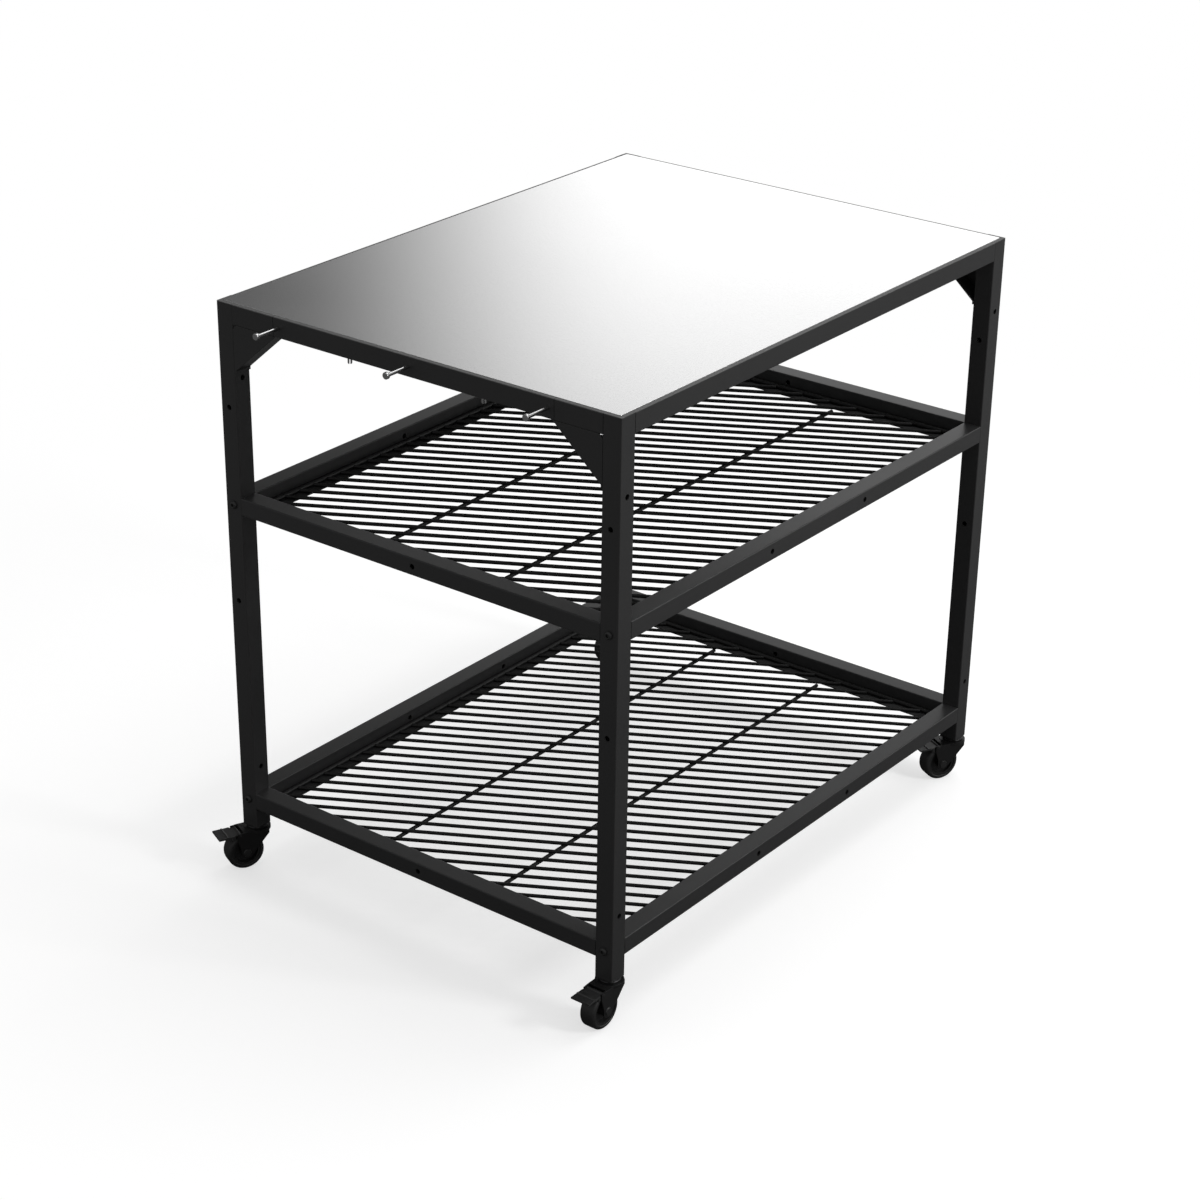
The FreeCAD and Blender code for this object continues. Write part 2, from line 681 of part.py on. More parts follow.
def make_stem(name, side, end):
    """The fixed stem of a caster: thread, bearing cap, bearing shank and riveted head."""
    body = new_body(name)
    head_high = f"( {CROWN_LOW} - crown_play )"
    sketch = new_sketch(body, "XZ_Plane")
    draw_polygon(sketch, [
        ("0", f"{head_high} - stem_head_tall"),
        ("stem_head_dia / 2 - stem_head_tall / 2", f"{head_high} - stem_head_tall"),
        ("stem_head_dia / 2", f"{head_high} - stem_head_tall / 2"),
        ("stem_head_dia / 2", head_high),
        ("stem_dia / 2", head_high),
        ("stem_dia / 2", RACE_LOW),
        ("race_dia / 2", RACE_LOW),
        ("race_dia / 2", f"( {RACE_LOW} + race_tall / 2 )"),
        ("race_dia / 2 - 1", LEG_END),
        ("stem_dia / 2", LEG_END),
        ("stem_dia / 2", f"( {LEG_FOOT} + stem_up )"),
        ("0", f"( {LEG_FOOT} + stem_up )"),
    ])
    revolve(body, sketch, "V_Axis")
    place(body, signed(side, LEG_X), signed(end, LEG_Y))
    return body


def make_fork(name):
    """The swivelling fork: a round crown and two cheeks that slope back to the axle."""
    body = new_body(name)
    crown = new_sketch(body, "XY_Plane", ("0", "0", CROWN_LOW))
    draw_circle(crown, "0", "0", "crown_dia")
    extrude(body, crown, "crown_thick")
    ear_back = "( pivot_back + pivot_barrel )"
    ear_high = f"( {PIVOT_UP} + pivot_barrel / 2 )"
    side = new_sketch(body, "YZ_Plane")
    draw_polygon(side, [
        ("crown_dia * 0.33", f"{CROWN_LOW} + crown_thick * 0.8"),
        ("crown_dia * 0.33", f"{CROWN_LOW} - crown_thick"),
        ("- trail + fork_boss / 2", "wheel_dia / 2 - fork_boss * 0.2"),
        ("- trail - fork_boss / 2", "wheel_dia / 2 - fork_boss * 0.2"),
        ("- trail - fork_boss / 2", "wheel_dia / 2 + fork_boss * 0.4"),
        (f"- {ear_back}", f"{PIVOT_UP} - pivot_barrel"),
        (f"- {ear_back}", ear_high),
        ("- pivot_back + pivot_barrel", f"{CROWN_LOW} + crown_thick * 0.8"),
    ])
    extrude(body, side, f"2 * {CHEEK_OUT}", both_ways=True)
    boss = new_sketch(body, "YZ_Plane")
    draw_circle(boss, "- trail", "wheel_dia / 2", "fork_boss")
    extrude(body, boss, f"2 * {CHEEK_OUT}", both_ways=True)
    slot = new_sketch(body, "XZ_Plane")
    draw_box(slot, "- fork_gap / 2", "- 1", "fork_gap / 2", CROWN_LOW)
    cut(body, slot)
    back = new_sketch(body, "XZ_Plane", ("0", "0", "pivot_back - pivot_barrel"))
    draw_box(back, "- fork_gap / 2", "0", "fork_gap / 2", LEG_FOOT)
    cut(body, back, "wheel_dia", backwards=True)
    drill(body, "XY_Plane", [("0", "0")], "( stem_dia + 2 * stem_play )")
    drill(body, "YZ_Plane", [("- trail", "wheel_dia / 2")], "( axle_dia + 2 * thread_play )")
    drill(body, "YZ_Plane", [("- pivot_back", PIVOT_UP)], "( pivot_pin + 2 * pivot_play )")
    return body


def turned_on_axle(name, points):
    """A piece turned about the wheel's axis, from pairs of a place across and a radius."""
    body = new_body(name)
    sketch = new_sketch(body, "XZ_Plane", ("0", "wheel_dia / 2", "trail"))
    draw_polygon(sketch, points)
    revolve(body, sketch, "H_Axis")
    return body


def make_wheel(name):
    """The wheel centre: hub, thin web and rim."""
    bore = "( axle_dia / 2 + axle_play )"
    rim_in = f"( {RIM_DIA} / 2 - rim_deep )"
    return turned_on_axle(name, [
        ("- hub_wide / 2", bore),
        ("hub_wide / 2", bore),
        ("hub_wide / 2", "hub_dia / 2"),
        ("web_thick / 2", "hub_dia / 2"),
        ("web_thick / 2", rim_in),
        ("rim_wide / 2", rim_in),
        ("rim_wide / 2", f"{RIM_DIA} / 2"),
        ("- rim_wide / 2", f"{RIM_DIA} / 2"),
        ("- rim_wide / 2", rim_in),
        ("- web_thick / 2", rim_in),
        ("- web_thick / 2", "hub_dia / 2"),
        ("- hub_wide / 2", "hub_dia / 2"),
    ])


def make_tyre(name):
    """The tyre, with each shoulder rounded off in two bevels."""
    shallow = "tyre_round * 0.3"
    points = [
        ("tyre_wide / 2", f"{RIM_DIA} / 2"),
        ("tyre_wide / 2", "wheel_dia / 2 - tyre_round"),
        (f"tyre_wide / 2 - {shallow}", f"wheel_dia / 2 - {shallow}"),
        ("tyre_wide / 2 - tyre_round", "wheel_dia / 2"),
    ]
    mirrored = [(f"- ( {across} )", radius) for across, radius in reversed(points)]
    return turned_on_axle(name, points + mirrored)


def make_axle(name):
    """The axle, with a low head outside each cheek."""
    end = f"( {CHEEK_OUT} + axle_head_tall )"
    return turned_on_axle(name, [
        (f"- {end}", "0"),
        (f"- {end}", "axle_head_dia / 2 - axle_head_tall / 2"),
        (f"- {CHEEK_OUT}", "axle_head_dia / 2"),
        (f"- {CHEEK_OUT}", "axle_dia / 2"),
        (CHEEK_OUT, "axle_dia / 2"),
        (CHEEK_OUT, "axle_head_dia / 2"),
        (end, "axle_head_dia / 2 - axle_head_tall / 2"),
        (end, "0"),
    ])


def make_pedal(name):
    """The brake pedal: a barrel with two journals, a neck, a wide plate, a ridge and a shoe."""
    body = new_body(name)
    neck_half = "( fork_gap / 2 - pedal_side_play )"
    plate_low = f"( {PIVOT_UP} - pedal_thick / 2 )"
    plate_high = f"( {PIVOT_UP} + pedal_thick / 2 )"
    barrel = new_sketch(body, "YZ_Plane")
    draw_circle(barrel, "- pivot_back", PIVOT_UP, "pivot_barrel")
    extrude(body, barrel, f"2 * {neck_half}", both_ways=True)
    neck = new_sketch(body, "YZ_Plane")
    draw_box(neck, "- pedal_start - 1", plate_low, "- pivot_back", plate_high)
    extrude(body, neck, f"2 * {neck_half}", both_ways=True)
    plate = new_sketch(body, "YZ_Plane")
    ridge_start = "- ridge_back + ridge_wide / 2"
    ridge_end = "- ridge_back - ridge_wide / 2"
    shoe_low = f"{plate_low} - shoe_drop"
    draw_polygon(plate, [
        ("- pedal_start", plate_high),
        (ridge_start, plate_high),
        ("- ridge_back", f"{plate_high} + ridge_tall"),
        (ridge_end, plate_high),
        ("- pedal_tip", plate_high),
        ("- pedal_tip", plate_low),
        ("- shoe_back - shoe_long / 2", plate_low),
        ("- shoe_back - shoe_long / 2", shoe_low),
        ("- shoe_back + shoe_long / 2", shoe_low),
        ("- pedal_start", plate_low),
    ])
    extrude(body, plate, "pedal_wide", both_ways=True)
    journals = new_sketch(body, "YZ_Plane")
    draw_circle(journals, "- pivot_back", PIVOT_UP, "pivot_pin")
    extrude(body, journals, f"2 * {CHEEK_OUT}", both_ways=True)
    return body


def make_caster(corner, side, end):
    """One caster, every piece drawn about the swivel axis and turned to its heading."""
    makers = {
        "fork": make_fork,
        "wheel": make_wheel,
        "tyre": make_tyre,
        "axle": make_axle,
        "pedal": make_pedal,
    }
    pieces = []
    for kind, make in makers.items():
        body = make(f"caster_{corner}_{kind}")
        place(body, signed(side, LEG_X), signed(end, LEG_Y), turn=f"head_{corner}")
        pieces.append(body)
    return pieces


def make_shelf(shelf, drop):
    """A bolted shelf frame: four rails, the ledge inside them and a loose grille."""
    return [
        make_long_shelf_rail(f"shelf_{shelf}_rail_left", -1, drop),
        make_long_shelf_rail(f"shelf_{shelf}_rail_right", 1, drop),
        make_short_shelf_rail(f"shelf_{shelf}_rail_front", -1, drop),
        make_short_shelf_rail(f"shelf_{shelf}_rail_back", 1, drop),
        make_ledge(f"shelf_{shelf}_ledge", drop),
        make_grille(f"shelf_{shelf}_grille", drop),
    ]


# The whole table, piece by piece
nodes = []
nodes.append(make_side_rail("rail_top_left", -1))
nodes.append(make_side_rail("rail_top_right", 1))
nodes.append(make_end_rail("rail_top_front", -1))
nodes.append(make_end_rail("rail_top_back", 1))
for corner, (side, end) in CORNERS.items():
    nodes.append(make_leg(f"leg_{corner}", side, end))
    nodes.append(make_stub(f"rail_stub_{corner}", side, end))
    nodes.append(make_gusset(f"gusset_{corner}", side, end))
for shelf, drop in SHELVES.items():
    nodes.extend(make_shelf(shelf, drop))
nodes.append(make_worktop())
for step, name in enumerate(("peg_left", "peg_middle", "peg_right"), start=-1):
    nodes.append(make_peg(name, signed(step, PEG_PLACE) if step else "0"))
for corner, (side, end) in CORNERS.items():
    nodes.extend(make_caster(corner, side, end))

nodes.append(group("worktop_stiffeners", [make_stay("stiffener_front", -1), make_stay("stiffener_back", 1)]))
clips = []
for corner, (side, end) in CORNERS.items():
    clips.append(make_clip(f"clip_{corner}", signed(side, CLIP_PLACE), signed(end, LEG_Y)))
nodes.append(group("worktop_clips", clips))
nodes.append(group("rail_sleeves", [make_sleeve(f"sleeve_{c}", *s) for c, s in CORNERS.items()]))
nodes.append(group("leg_plugs", [make_plug(f"plug_{c}", *s) for c, s in CORNERS.items()]))
nodes.append(group("caster_stems", [make_stem(f"stem_{c}", *s) for c, s in CORNERS.items()]))
bolts = []
for corner, (side, end) in CORNERS.items():
    for shelf, drop in SHELVES.items():
        bolts.append(make_bolt(f"bolt_{shelf}_{corner}", side, end, drop))
nodes.append(group("shelf_bolts", bolts))

doc.recompute()
for item in doc.Objects:
    if "Invalid" in item.State or "Error" in item.State:
        raise RuntimeError(f"{item.Label} did not build: {item.State}")
for node in nodes:
    if node.Shape.isNull() or not node.Shape.isValid():
        raise RuntimeError(f"{node.Label} has no sound shape")
    node.Shape.exportStep(f"parts/{node.Label}.step")
print(len(nodes), "nodes written")
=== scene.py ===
import json
from math import cos, pi, radians, sin

import bmesh
import bpy
from bpy.props import FloatProperty, FloatVectorProperty, IntProperty, PointerProperty
from mathutils import Matrix, Vector

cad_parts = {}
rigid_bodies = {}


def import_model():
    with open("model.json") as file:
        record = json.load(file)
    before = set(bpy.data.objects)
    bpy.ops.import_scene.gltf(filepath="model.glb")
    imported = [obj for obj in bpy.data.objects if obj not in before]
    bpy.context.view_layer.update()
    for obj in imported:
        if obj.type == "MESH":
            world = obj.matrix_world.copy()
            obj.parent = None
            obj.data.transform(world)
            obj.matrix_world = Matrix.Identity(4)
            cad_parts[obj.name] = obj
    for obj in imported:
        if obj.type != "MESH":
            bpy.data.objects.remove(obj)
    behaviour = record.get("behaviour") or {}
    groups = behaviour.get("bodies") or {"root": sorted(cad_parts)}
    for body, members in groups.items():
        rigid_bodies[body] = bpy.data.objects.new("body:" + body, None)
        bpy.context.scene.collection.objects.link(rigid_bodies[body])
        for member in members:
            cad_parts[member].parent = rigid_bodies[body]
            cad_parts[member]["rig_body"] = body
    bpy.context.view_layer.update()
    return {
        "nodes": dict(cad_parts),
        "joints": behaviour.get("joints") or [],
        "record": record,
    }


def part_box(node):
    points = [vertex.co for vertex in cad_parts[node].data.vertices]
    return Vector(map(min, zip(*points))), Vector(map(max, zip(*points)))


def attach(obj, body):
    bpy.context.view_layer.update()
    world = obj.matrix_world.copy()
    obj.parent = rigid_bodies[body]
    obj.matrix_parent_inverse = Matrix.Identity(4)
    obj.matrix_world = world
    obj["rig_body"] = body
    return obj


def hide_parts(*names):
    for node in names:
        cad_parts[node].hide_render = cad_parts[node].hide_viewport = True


bl_info = {
    "name": "Oven Table",
    "version": (1, 0, 0),
    "blender": (4, 5, 0),
    "location": "3D View > Sidebar > Oven Table",
    "description": "Finishes, wires, small hardware and stage of an outdoor pizza oven table",
    "category": "Object",
}

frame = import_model()
NODES = frame["nodes"]
JOINTS = {joint["name"]: joint for joint in frame["joints"]}
CORNERS = ("front_left", "front_right", "back_left", "back_right")
SHELVES = ("mid", "low")
WHITE = (1, 1, 1, 1)
NODE_COLUMN, NODE_ROW = 180, 160
F, C = "NodeSocketFloat", "NodeSocketColor"

# Angles between faces: an edge that is shaded sharp, one that is bevelled, and one flat face
SHARP = radians(40)
BEVELLED = radians(30)
SAME_PLANE = radians(0.6)
SAME_POINT = 0.00002  # corners this near are one
END_BEVEL = 0.0004  # at the ends of pins
SLIT_EDGE = 0.0002  # rounding of a clip's slit


def colour(name, description, default):
    return FloatVectorProperty(name=name, description=description, default=default,
                               subtype="COLOR", size=3, min=0, max=1)


def length(name, description, default):
    return FloatProperty(name=name, description=description, default=default,
                         min=0.0001, unit="LENGTH", precision=4)


class OvenTableFinish(bpy.types.PropertyGroup):
    """Colours of the table's finishes."""

    coat: colour("Powder coat", "Satin black of the tubes", (0.0205, 0.0205, 0.0208))
    # The top band of the rim is painted lighter: a painted highlight, not a colour of the coat.
    rim_highlight: colour("Rim highlight", "Painted highlight: lighter coat on the top of the rim round the worktop",
                   (0.09, 0.09, 0.09))
    wire: colour("Wire coat", "Black of the grilles", (0.006, 0.006, 0.006))
    steel: colour("Worktop", "Stainless sheet", (0.93, 0.93, 0.93))
    plated: colour("Plated steel", "Pegs and clips", (0.42, 0.42, 0.42))
    oxide: colour("Bolts", "Black oxide of the bolts", (0.012, 0.012, 0.012))
    moulded: colour("Moulded black", "Plugs and wheel centres", (0.007, 0.007, 0.007))
    zinc: colour("Zinc", "Dark zinc of the caster stems", (0.03, 0.03, 0.031))
    fork: colour("Caster frame", "Black of the forks", (0.004, 0.004, 0.004))
    pedal: colour("Pedal", "Dark grey of the brake pedals", (0.014, 0.014, 0.014))
    tyre: colour("Tyre", "Rubber of the wheels", (0.006, 0.006, 0.006))


class OvenTableSizes(bpy.types.PropertyGroup):
    """Sizes of the pieces that are made here."""

    wire: length("Bar", "Thickness of the slanted bars", 0.0047)
    rim: length("Rim", "Thickness of the rim", 0.006)
    rod: length("Rod", "Thickness of the rods under the bars", 0.005)
    pitch: length("Pitch", "Spacing of the bars along the shelf", 0.025)
    slant: FloatProperty(name="Slant", description="Angle of the bars from the short side",
                         default=radians(30), subtype="ANGLE", unit="ROTATION")
    under: length("Rods", "Rods under the bars, from the middle", 0.088)
    nugget: length("Weld spot", "Weld spot where a bar crosses a rod", 0.0026)
    sheet: length("Sheet", "Height of the worktop sheet above the frame", 0.0006)
    sheet_edge: length("Sheet edge", "Rounding of the worktop's edge", 0.0002)
    fold_edge: length("Pressed edge", "Rounding of pressed and folded sheet", 0.0004)
    peg_rod: length("Peg rod", "Thickness of the hanging pegs", 0.0048)
    peg_head: length("Peg head", "Width of the head of a peg", 0.0085)
    clip: length("Clip", "Thickness of the split clips", 0.0055)
    clip_slot: length("Clip slot", "Slit between the legs of a clip", 0.0014)
    bolt_head: length("Bolt head", "Width of the button heads", 0.0105)
    bolt_tall: length("Bolt head height", "Height of the button heads", 0.0033)
    sides: IntProperty(name="Sides", description="Sides of a round wire", default=16, min=6, max=48)


class OvenTableStage(bpy.types.PropertyGroup):
    """Camera, floor and lamps."""

    place: FloatVectorProperty(name="Camera", description="Place of the camera", size=3,
                               default=(1.9297, -2.5430, 1.8310), subtype="TRANSLATION",
                               unit="LENGTH")
    turn: FloatProperty(name="Turn", description="Camera's bearing from the front, to the right",
                        default=radians(38.65), subtype="ANGLE", unit="ROTATION")
    tilt: FloatProperty(name="Tilt", description="How far the camera looks down",
                        default=radians(26.52), subtype="ANGLE", unit="ROTATION")
    roll: FloatProperty(name="Roll", description="Camera's roll", default=radians(0.22),
                        subtype="ANGLE", unit="ROTATION")
    lens: FloatProperty(name="Lens", description="Focal length on a 36 mm frame", default=82.12,
                        min=10, unit="CAMERA")
    shift: FloatProperty(name="Shift", description="Camera's shift, right and up", default=0.05)
    floor: colour("Floor", "Floor away from the camera's own view", (0.15, 0.15, 0.15))
    sky: FloatProperty(name="Room light", description="Strength of the even light of the room",
                       default=0.455, min=0)
    panel: FloatProperty(name="Bright wall", default=1.6, min=0,
                         description="Strength of the bright wall behind the table")
    dim: FloatProperty(name="Dim wall", description="Strength of the wall behind on the left",
                       default=0.082, min=0)
    pale: FloatProperty(name="Pale walls", description="Strength of the other walls in reflections",
                        default=0.45, min=0)
    top: FloatProperty(name="Overhead lamp", description="Watts of the lamp above", default=35,
                       min=0, unit="POWER")
    side: FloatProperty(name="Side lamp", description="Watts of the lamp on the right", default=50,
                        min=0, unit="POWER")


def add(tree, kind, at=(0, 0), inputs=None, **settings):
    """A node in a tree, with its settings and socket values."""
    node = tree.nodes.new(kind)
    node.location = (at[0] * NODE_COLUMN, at[1] * NODE_ROW)
    for key, value in settings.items():
        setattr(node, key, value)
    for key, value in (inputs or {}).items():
        if isinstance(value, bpy.types.NodeSocket):
            tree.links.new(value, node.inputs[key])
        else:
            node.inputs[key].default_value = value
    return node


def maths(tree, operation, first, second=0.0, third=0.0, clamp=False, at=(0, 0)):
    """The result of a Math node."""
    inputs = {0: first, 1: second, 2: third}
    return add(tree, "ShaderNodeMath", at, inputs, operation=operation, use_clamp=clamp).outputs[0]


def ramp(tree, value, start, end, low, high, at=(0, 0)):
    """A value that eases from low at start to high at end."""
    inputs = {"Value": value, "From Min": start, "From Max": end, "To Min": low, "To Max": high}
    return add(tree, "ShaderNodeMapRange", at, inputs, interpolation_type="SMOOTHSTEP").outputs[0]


def dot(tree, vector, way, at=(0, 0)):
    """How far a vector goes one way."""
    node = add(tree, "ShaderNodeVectorMath", at, {0: vector, 1: way}, operation="DOT_PRODUCT")
    return node.outputs["Value"]


def blend(tree, part, first, second, at=(0, 0)):
    """One colour, and another where part is 1."""
    inputs = {0: part, 6: first, 7: second}
    return add(tree, "ShaderNodeMix", at, inputs, data_type="RGBA").outputs[2]


def new_group(name, inputs, outputs):
    """An empty shader group with named sockets."""
    group = bpy.data.node_groups.new(name, "ShaderNodeTree")
    for label, kind, default in inputs:
        socket = group.interface.new_socket(name=label, in_out="INPUT", socket_type=kind)
        socket.default_value = default
    for label, kind in outputs:
        group.interface.new_socket(name=label, in_out="OUTPUT", socket_type=kind)
    return group, add(group, "NodeGroupInput", (-6, 0)), add(group, "NodeGroupOutput", (6, 0))


def grain_group():
    """Fine even grain of a coated or blasted surface, with a slow drift over it."""
    if "Surface grain" in bpy.data.node_groups:
        return bpy.data.node_groups["Surface grain"]
    group, start, end = new_group(
        "Surface grain",
        [("Colour", C, (0.5, 0.5, 0.5, 1)), ("Grain Size", F, 0.0006), ("Drift Size", F, 0.12),
         ("Mottle", F, 0.15), ("Drift", F, 0.1), ("Roughness", F, 0.4),
         ("Roughness Spread", F, 0.05)],
        [("Colour", C), ("Roughness", F), ("Height", F)])
    where = add(group, "ShaderNodeTexCoord", (-6, -3)).outputs["Object"]
    fine_scale = maths(group, "DIVIDE", 1.0, start.outputs["Grain Size"], at=(-5, -1))
    slow_scale = maths(group, "DIVIDE", 1.0, start.outputs["Drift Size"], at=(-5, -2))
    fine = add(group, "ShaderNodeTexNoise", (-4, 0), {
        "Vector": where, "Scale": fine_scale, "Detail": 2.0, "Roughness": 0.6})
    slow = add(group, "ShaderNodeTexNoise", (-4, -2), {
        "Vector": where, "Scale": slow_scale, "Detail": 3.0, "Roughness": 0.5})
    fine_part = maths(group, "SUBTRACT", fine.outputs["Fac"], 0.5, at=(-3, 0))
    slow_part = maths(group, "SUBTRACT", slow.outputs["Fac"], 0.5, at=(-3, -2))
    mottle = maths(group, "MULTIPLY", fine_part, start.outputs["Mottle"], at=(-2, 0))
    shade = maths(group, "MULTIPLY_ADD", slow_part, start.outputs["Drift"], mottle, at=(-1, 0))
    tone = maths(group, "MULTIPLY_ADD", shade, 2.0, 1.0, at=(0, 0))
    mixed = add(group, "ShaderNodeVectorMath", (1, 0), {0: start.outputs["Colour"], "Scale": tone},
                operation="SCALE")
    spread = maths(group, "MULTIPLY", start.outputs["Roughness Spread"], 2.0, at=(-1, -3))
    rough = maths(group, "MULTIPLY_ADD", slow_part, spread, start.outputs["Roughness"], at=(0, -3))
    group.links.new(mixed.outputs[0], end.inputs["Colour"])
    group.links.new(rough, end.inputs["Roughness"])
    group.links.new(fine.outputs["Fac"], end.inputs["Height"])
    return group


def dust_group():
    """A thin veil of dust in patches, on faces that look up."""
    if "Resting dust" in bpy.data.node_groups:
        return bpy.data.node_groups["Resting dust"]
    group, start, end = new_group(
        "Resting dust",
        [("Colour", C, (0.5, 0.5, 0.5, 1)), ("Dust Colour", C, (0.3, 0.3, 0.3, 1)),
         ("Amount", F, 0.05), ("Patch Size", F, 0.03)],
        [("Colour", C)])
    where = add(group, "ShaderNodeTexCoord", (-6, -2))
    scale = maths(group, "DIVIDE", 1.0, start.outputs["Patch Size"], at=(-5, -1))
    patch = add(group, "ShaderNodeTexNoise", (-4, 0), {
        "Vector": where.outputs["Object"], "Scale": scale, "Detail": 4.0})
    normal = add(group, "ShaderNodeNewGeometry", (-5, -3)).outputs["Normal"]
    up = add(group, "ShaderNodeSeparateXYZ", (-4, -3), {0: normal}).outputs["Z"]
    facing = maths(group, "MULTIPLY", up, 1.0, clamp=True, at=(-3, -2))
    patchy = maths(group, "MULTIPLY", patch.outputs["Fac"], facing, at=(-2, -1))
    mask = maths(group, "MULTIPLY", patchy, start.outputs["Amount"], clamp=True, at=(-1, -1))
    mixed = blend(group, mask, start.outputs["Colour"], start.outputs["Dust Colour"], at=(1, 0))
    group.links.new(mixed, end.inputs["Colour"])
    return group


def finish(name, shade, rough, grain=0.0006, mottle=0.12, drift=0.1, spread=0.05, metallic=0.0,
           bump=0.15, depth=0.00002, dust=0.03, specular=0.5, drift_size=0.12):
    """A material in one of the finish colours, with grain, drift and a little dust."""
    material = bpy.data.materials.get(name)
    if material:
        return material
    material = bpy.data.materials.new(name)
    material.use_nodes = True
    tree = material.node_tree
    shader = tree.nodes["Principled BSDF"]
    shader.inputs["Metallic"].default_value = metallic
    shader.inputs["Specular IOR Level"].default_value = specular
    tint = getattr(bpy.context.scene.oven_finish, shade)
    surface = add(tree, "ShaderNodeGroup", (-5, 0), node_tree=grain_group())
    for key, value in {"Colour": (*tint, 1), "Grain Size": grain, "Drift Size": drift_size,
                       "Mottle": mottle, "Drift": drift, "Roughness": rough,
                       "Roughness Spread": spread}.items():
        surface.inputs[key].default_value = value
    veil = add(tree, "ShaderNodeGroup", (-3, 0), node_tree=dust_group())
    tree.links.new(surface.outputs["Colour"], veil.inputs["Colour"])
    veil.inputs["Amount"].default_value = dust
    tree.links.new(veil.outputs["Colour"], shader.inputs["Base Color"])
    tree.links.new(surface.outputs["Roughness"], shader.inputs["Roughness"])
    relief = add(tree, "ShaderNodeBump", (-3, -3), {
        "Strength": bump, "Distance": depth, "Height": surface.outputs["Height"]})
    tree.links.new(relief.outputs["Normal"], shader.inputs["Normal"])
    return material


def coat_finish():
    """Satin powder coat, rougher at the top of the rim round the worktop, where a lighter colour is
    painted on as a painted highlight.
    """
    # Depths below the rim's top over which the painted highlight fades in.
    highlight_start_depth, highlight_full_depth = 0.0012, 0.0002  # depths below the top of the rim
    duller = 0.32
    name = "Satin powder coat"
    if name in bpy.data.materials:
        return bpy.data.materials[name]
    # Lighter colour of the painted highlight on the rim's top.
    rim_highlight = (*bpy.context.scene.oven_finish.rim_highlight, 1)
    material = finish(name, "coat", 0.38, grain=0.0009, mottle=0.10, drift=0.12,
                      bump=0.25, depth=0.00003, dust=0.02)
    tree = material.node_tree
    shader = tree.nodes["Principled BSDF"]
    where = add(tree, "ShaderNodeTexCoord", (-9, -4)).outputs["Object"]
    height = add(tree, "ShaderNodeSeparateXYZ", (-8, -4), {0: where}).outputs["Z"]
    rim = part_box("rail_top_front")[1].z
    # Painted highlight: a band at the top of the rim gets the lighter colour, and a rougher coat.
    painted_highlight_band = ramp(tree, height, rim - highlight_start_depth, rim - highlight_full_depth, 0.0, 1.0, at=(-7, -4))
    black = shader.inputs["Base Color"].links[0].from_socket
    mixed = blend(tree, painted_highlight_band, black, rim_highlight, at=(-1, 1))
    tree.links.new(mixed, shader.inputs["Base Color"])
    satin = shader.inputs["Roughness"].links[0].from_socket
    dull = maths(tree, "MULTIPLY_ADD", painted_highlight_band, duller, satin, at=(-1, -1))
    tree.links.new(dull, shader.inputs["Roughness"])
    return material


def wire_finish():
    """Dull black coat of the grilles."""
    return finish("Black wire coat", "wire", 0.5, grain=0.0007, bump=0.2, specular=0.25)


def worktop_finish():
    """Stainless sheet with a fine blasted grain and a faint rolling direction."""
    name = "Stainless sheet"
    if name in bpy.data.materials:
        return bpy.data.materials[name]
    material = finish(name, "steel", 0.21, grain=0.0026, mottle=0.10, drift=0.02, spread=0.02,
                      metallic=1.0, bump=0.03, depth=0.00002, dust=0.0, drift_size=0.2)
    tree = material.node_tree
    where = add(tree, "ShaderNodeTexCoord", (-9, -4)).outputs["Object"]
    stretch = (310, 16, 310)  # rolling lines are fine across the sheet and long along it
    drawn = add(tree, "ShaderNodeMapping", (-8, -4), {"Vector": where, "Scale": stretch})
    lines = add(tree, "ShaderNodeTexNoise", (-7, -4), {
        "Vector": drawn.outputs[0], "Scale": 1.0, "Detail": 2.0})
    relief = next(node for node in tree.nodes if node.bl_idname == "ShaderNodeBump")
    fine = relief.inputs["Height"].links[0].from_socket
    both = maths(tree, "MULTIPLY_ADD", lines.outputs["Fac"], 0.4, fine, at=(-4, -4))
    tree.links.new(both, relief.inputs["Height"])
    return material


def plated_finish():
    """Bright plating of the pegs and clips."""
    return finish("Bright plated steel", "plated", 0.18, grain=0.002, mottle=0.05, metallic=1.0,
                  bump=0.02, dust=0.0)


def oxide_finish():
    """Black oxide of the bolts."""
    return finish("Black oxide", "oxide", 0.4, grain=0.0003, bump=0.1, dust=0.0)


def moulded_finish():
    """Moulded plastic of the plugs and wheel centres."""
    return finish("Moulded black", "moulded", 0.5, grain=0.0005, bump=0.25, depth=0.00004)


def zinc_finish():
    """Dark zinc of the caster stems and axles."""
    return finish("Zinc plate", "zinc", 0.45, grain=0.0012, mottle=0.25, metallic=1.0, bump=0.08,
                  dust=0.0)


def fork_finish():
    """Black coat of the pressed forks."""
    return finish("Caster black", "fork", 0.35, grain=0.0006, bump=0.12)


def pedal_finish():
    """Dark grey of the brake pedals."""
    return finish("Pedal grey", "pedal", 0.4, grain=0.0006, mottle=0.15, bump=0.2)


def tyre_finish():
    """Rubber of the tyres, a little dusty."""
    return finish("Tyre rubber", "tyre", 0.55, grain=0.0012, mottle=0.25, drift=0.2, bump=0.35,
                  depth=0.00006, dust=0.08)


FINISHES = {
    "frame": coat_finish,
    "grille": wire_finish,
    "worktop": worktop_finish,
    "bright_metal": plated_finish,
    "bolts": oxide_finish,
    "plugs": moulded_finish,
    "zinc": zinc_finish,
    "caster_frame": fork_finish,
    "pedal": pedal_finish,
    "wheel_centre": moulded_finish,
    "tyre": tyre_finish,
}
SLOTS = {part["node"]: part["material_slot"] for part in frame["record"]["subparts"]}


def coat_node(node):
    """Gives a CAD node the material of its slot."""
    item = NODES[node]
    material = FINISHES[SLOTS[node]]()
    if not item.material_slots:
        item.data.materials.append(material)
    for place in item.material_slots:
        place.material = material


def new_piece(name, mesh):
    """An object in the scene for a mesh."""
    piece = bpy.data.objects.new(name, mesh)
    bpy.context.scene.collection.objects.link(piece)
    return piece


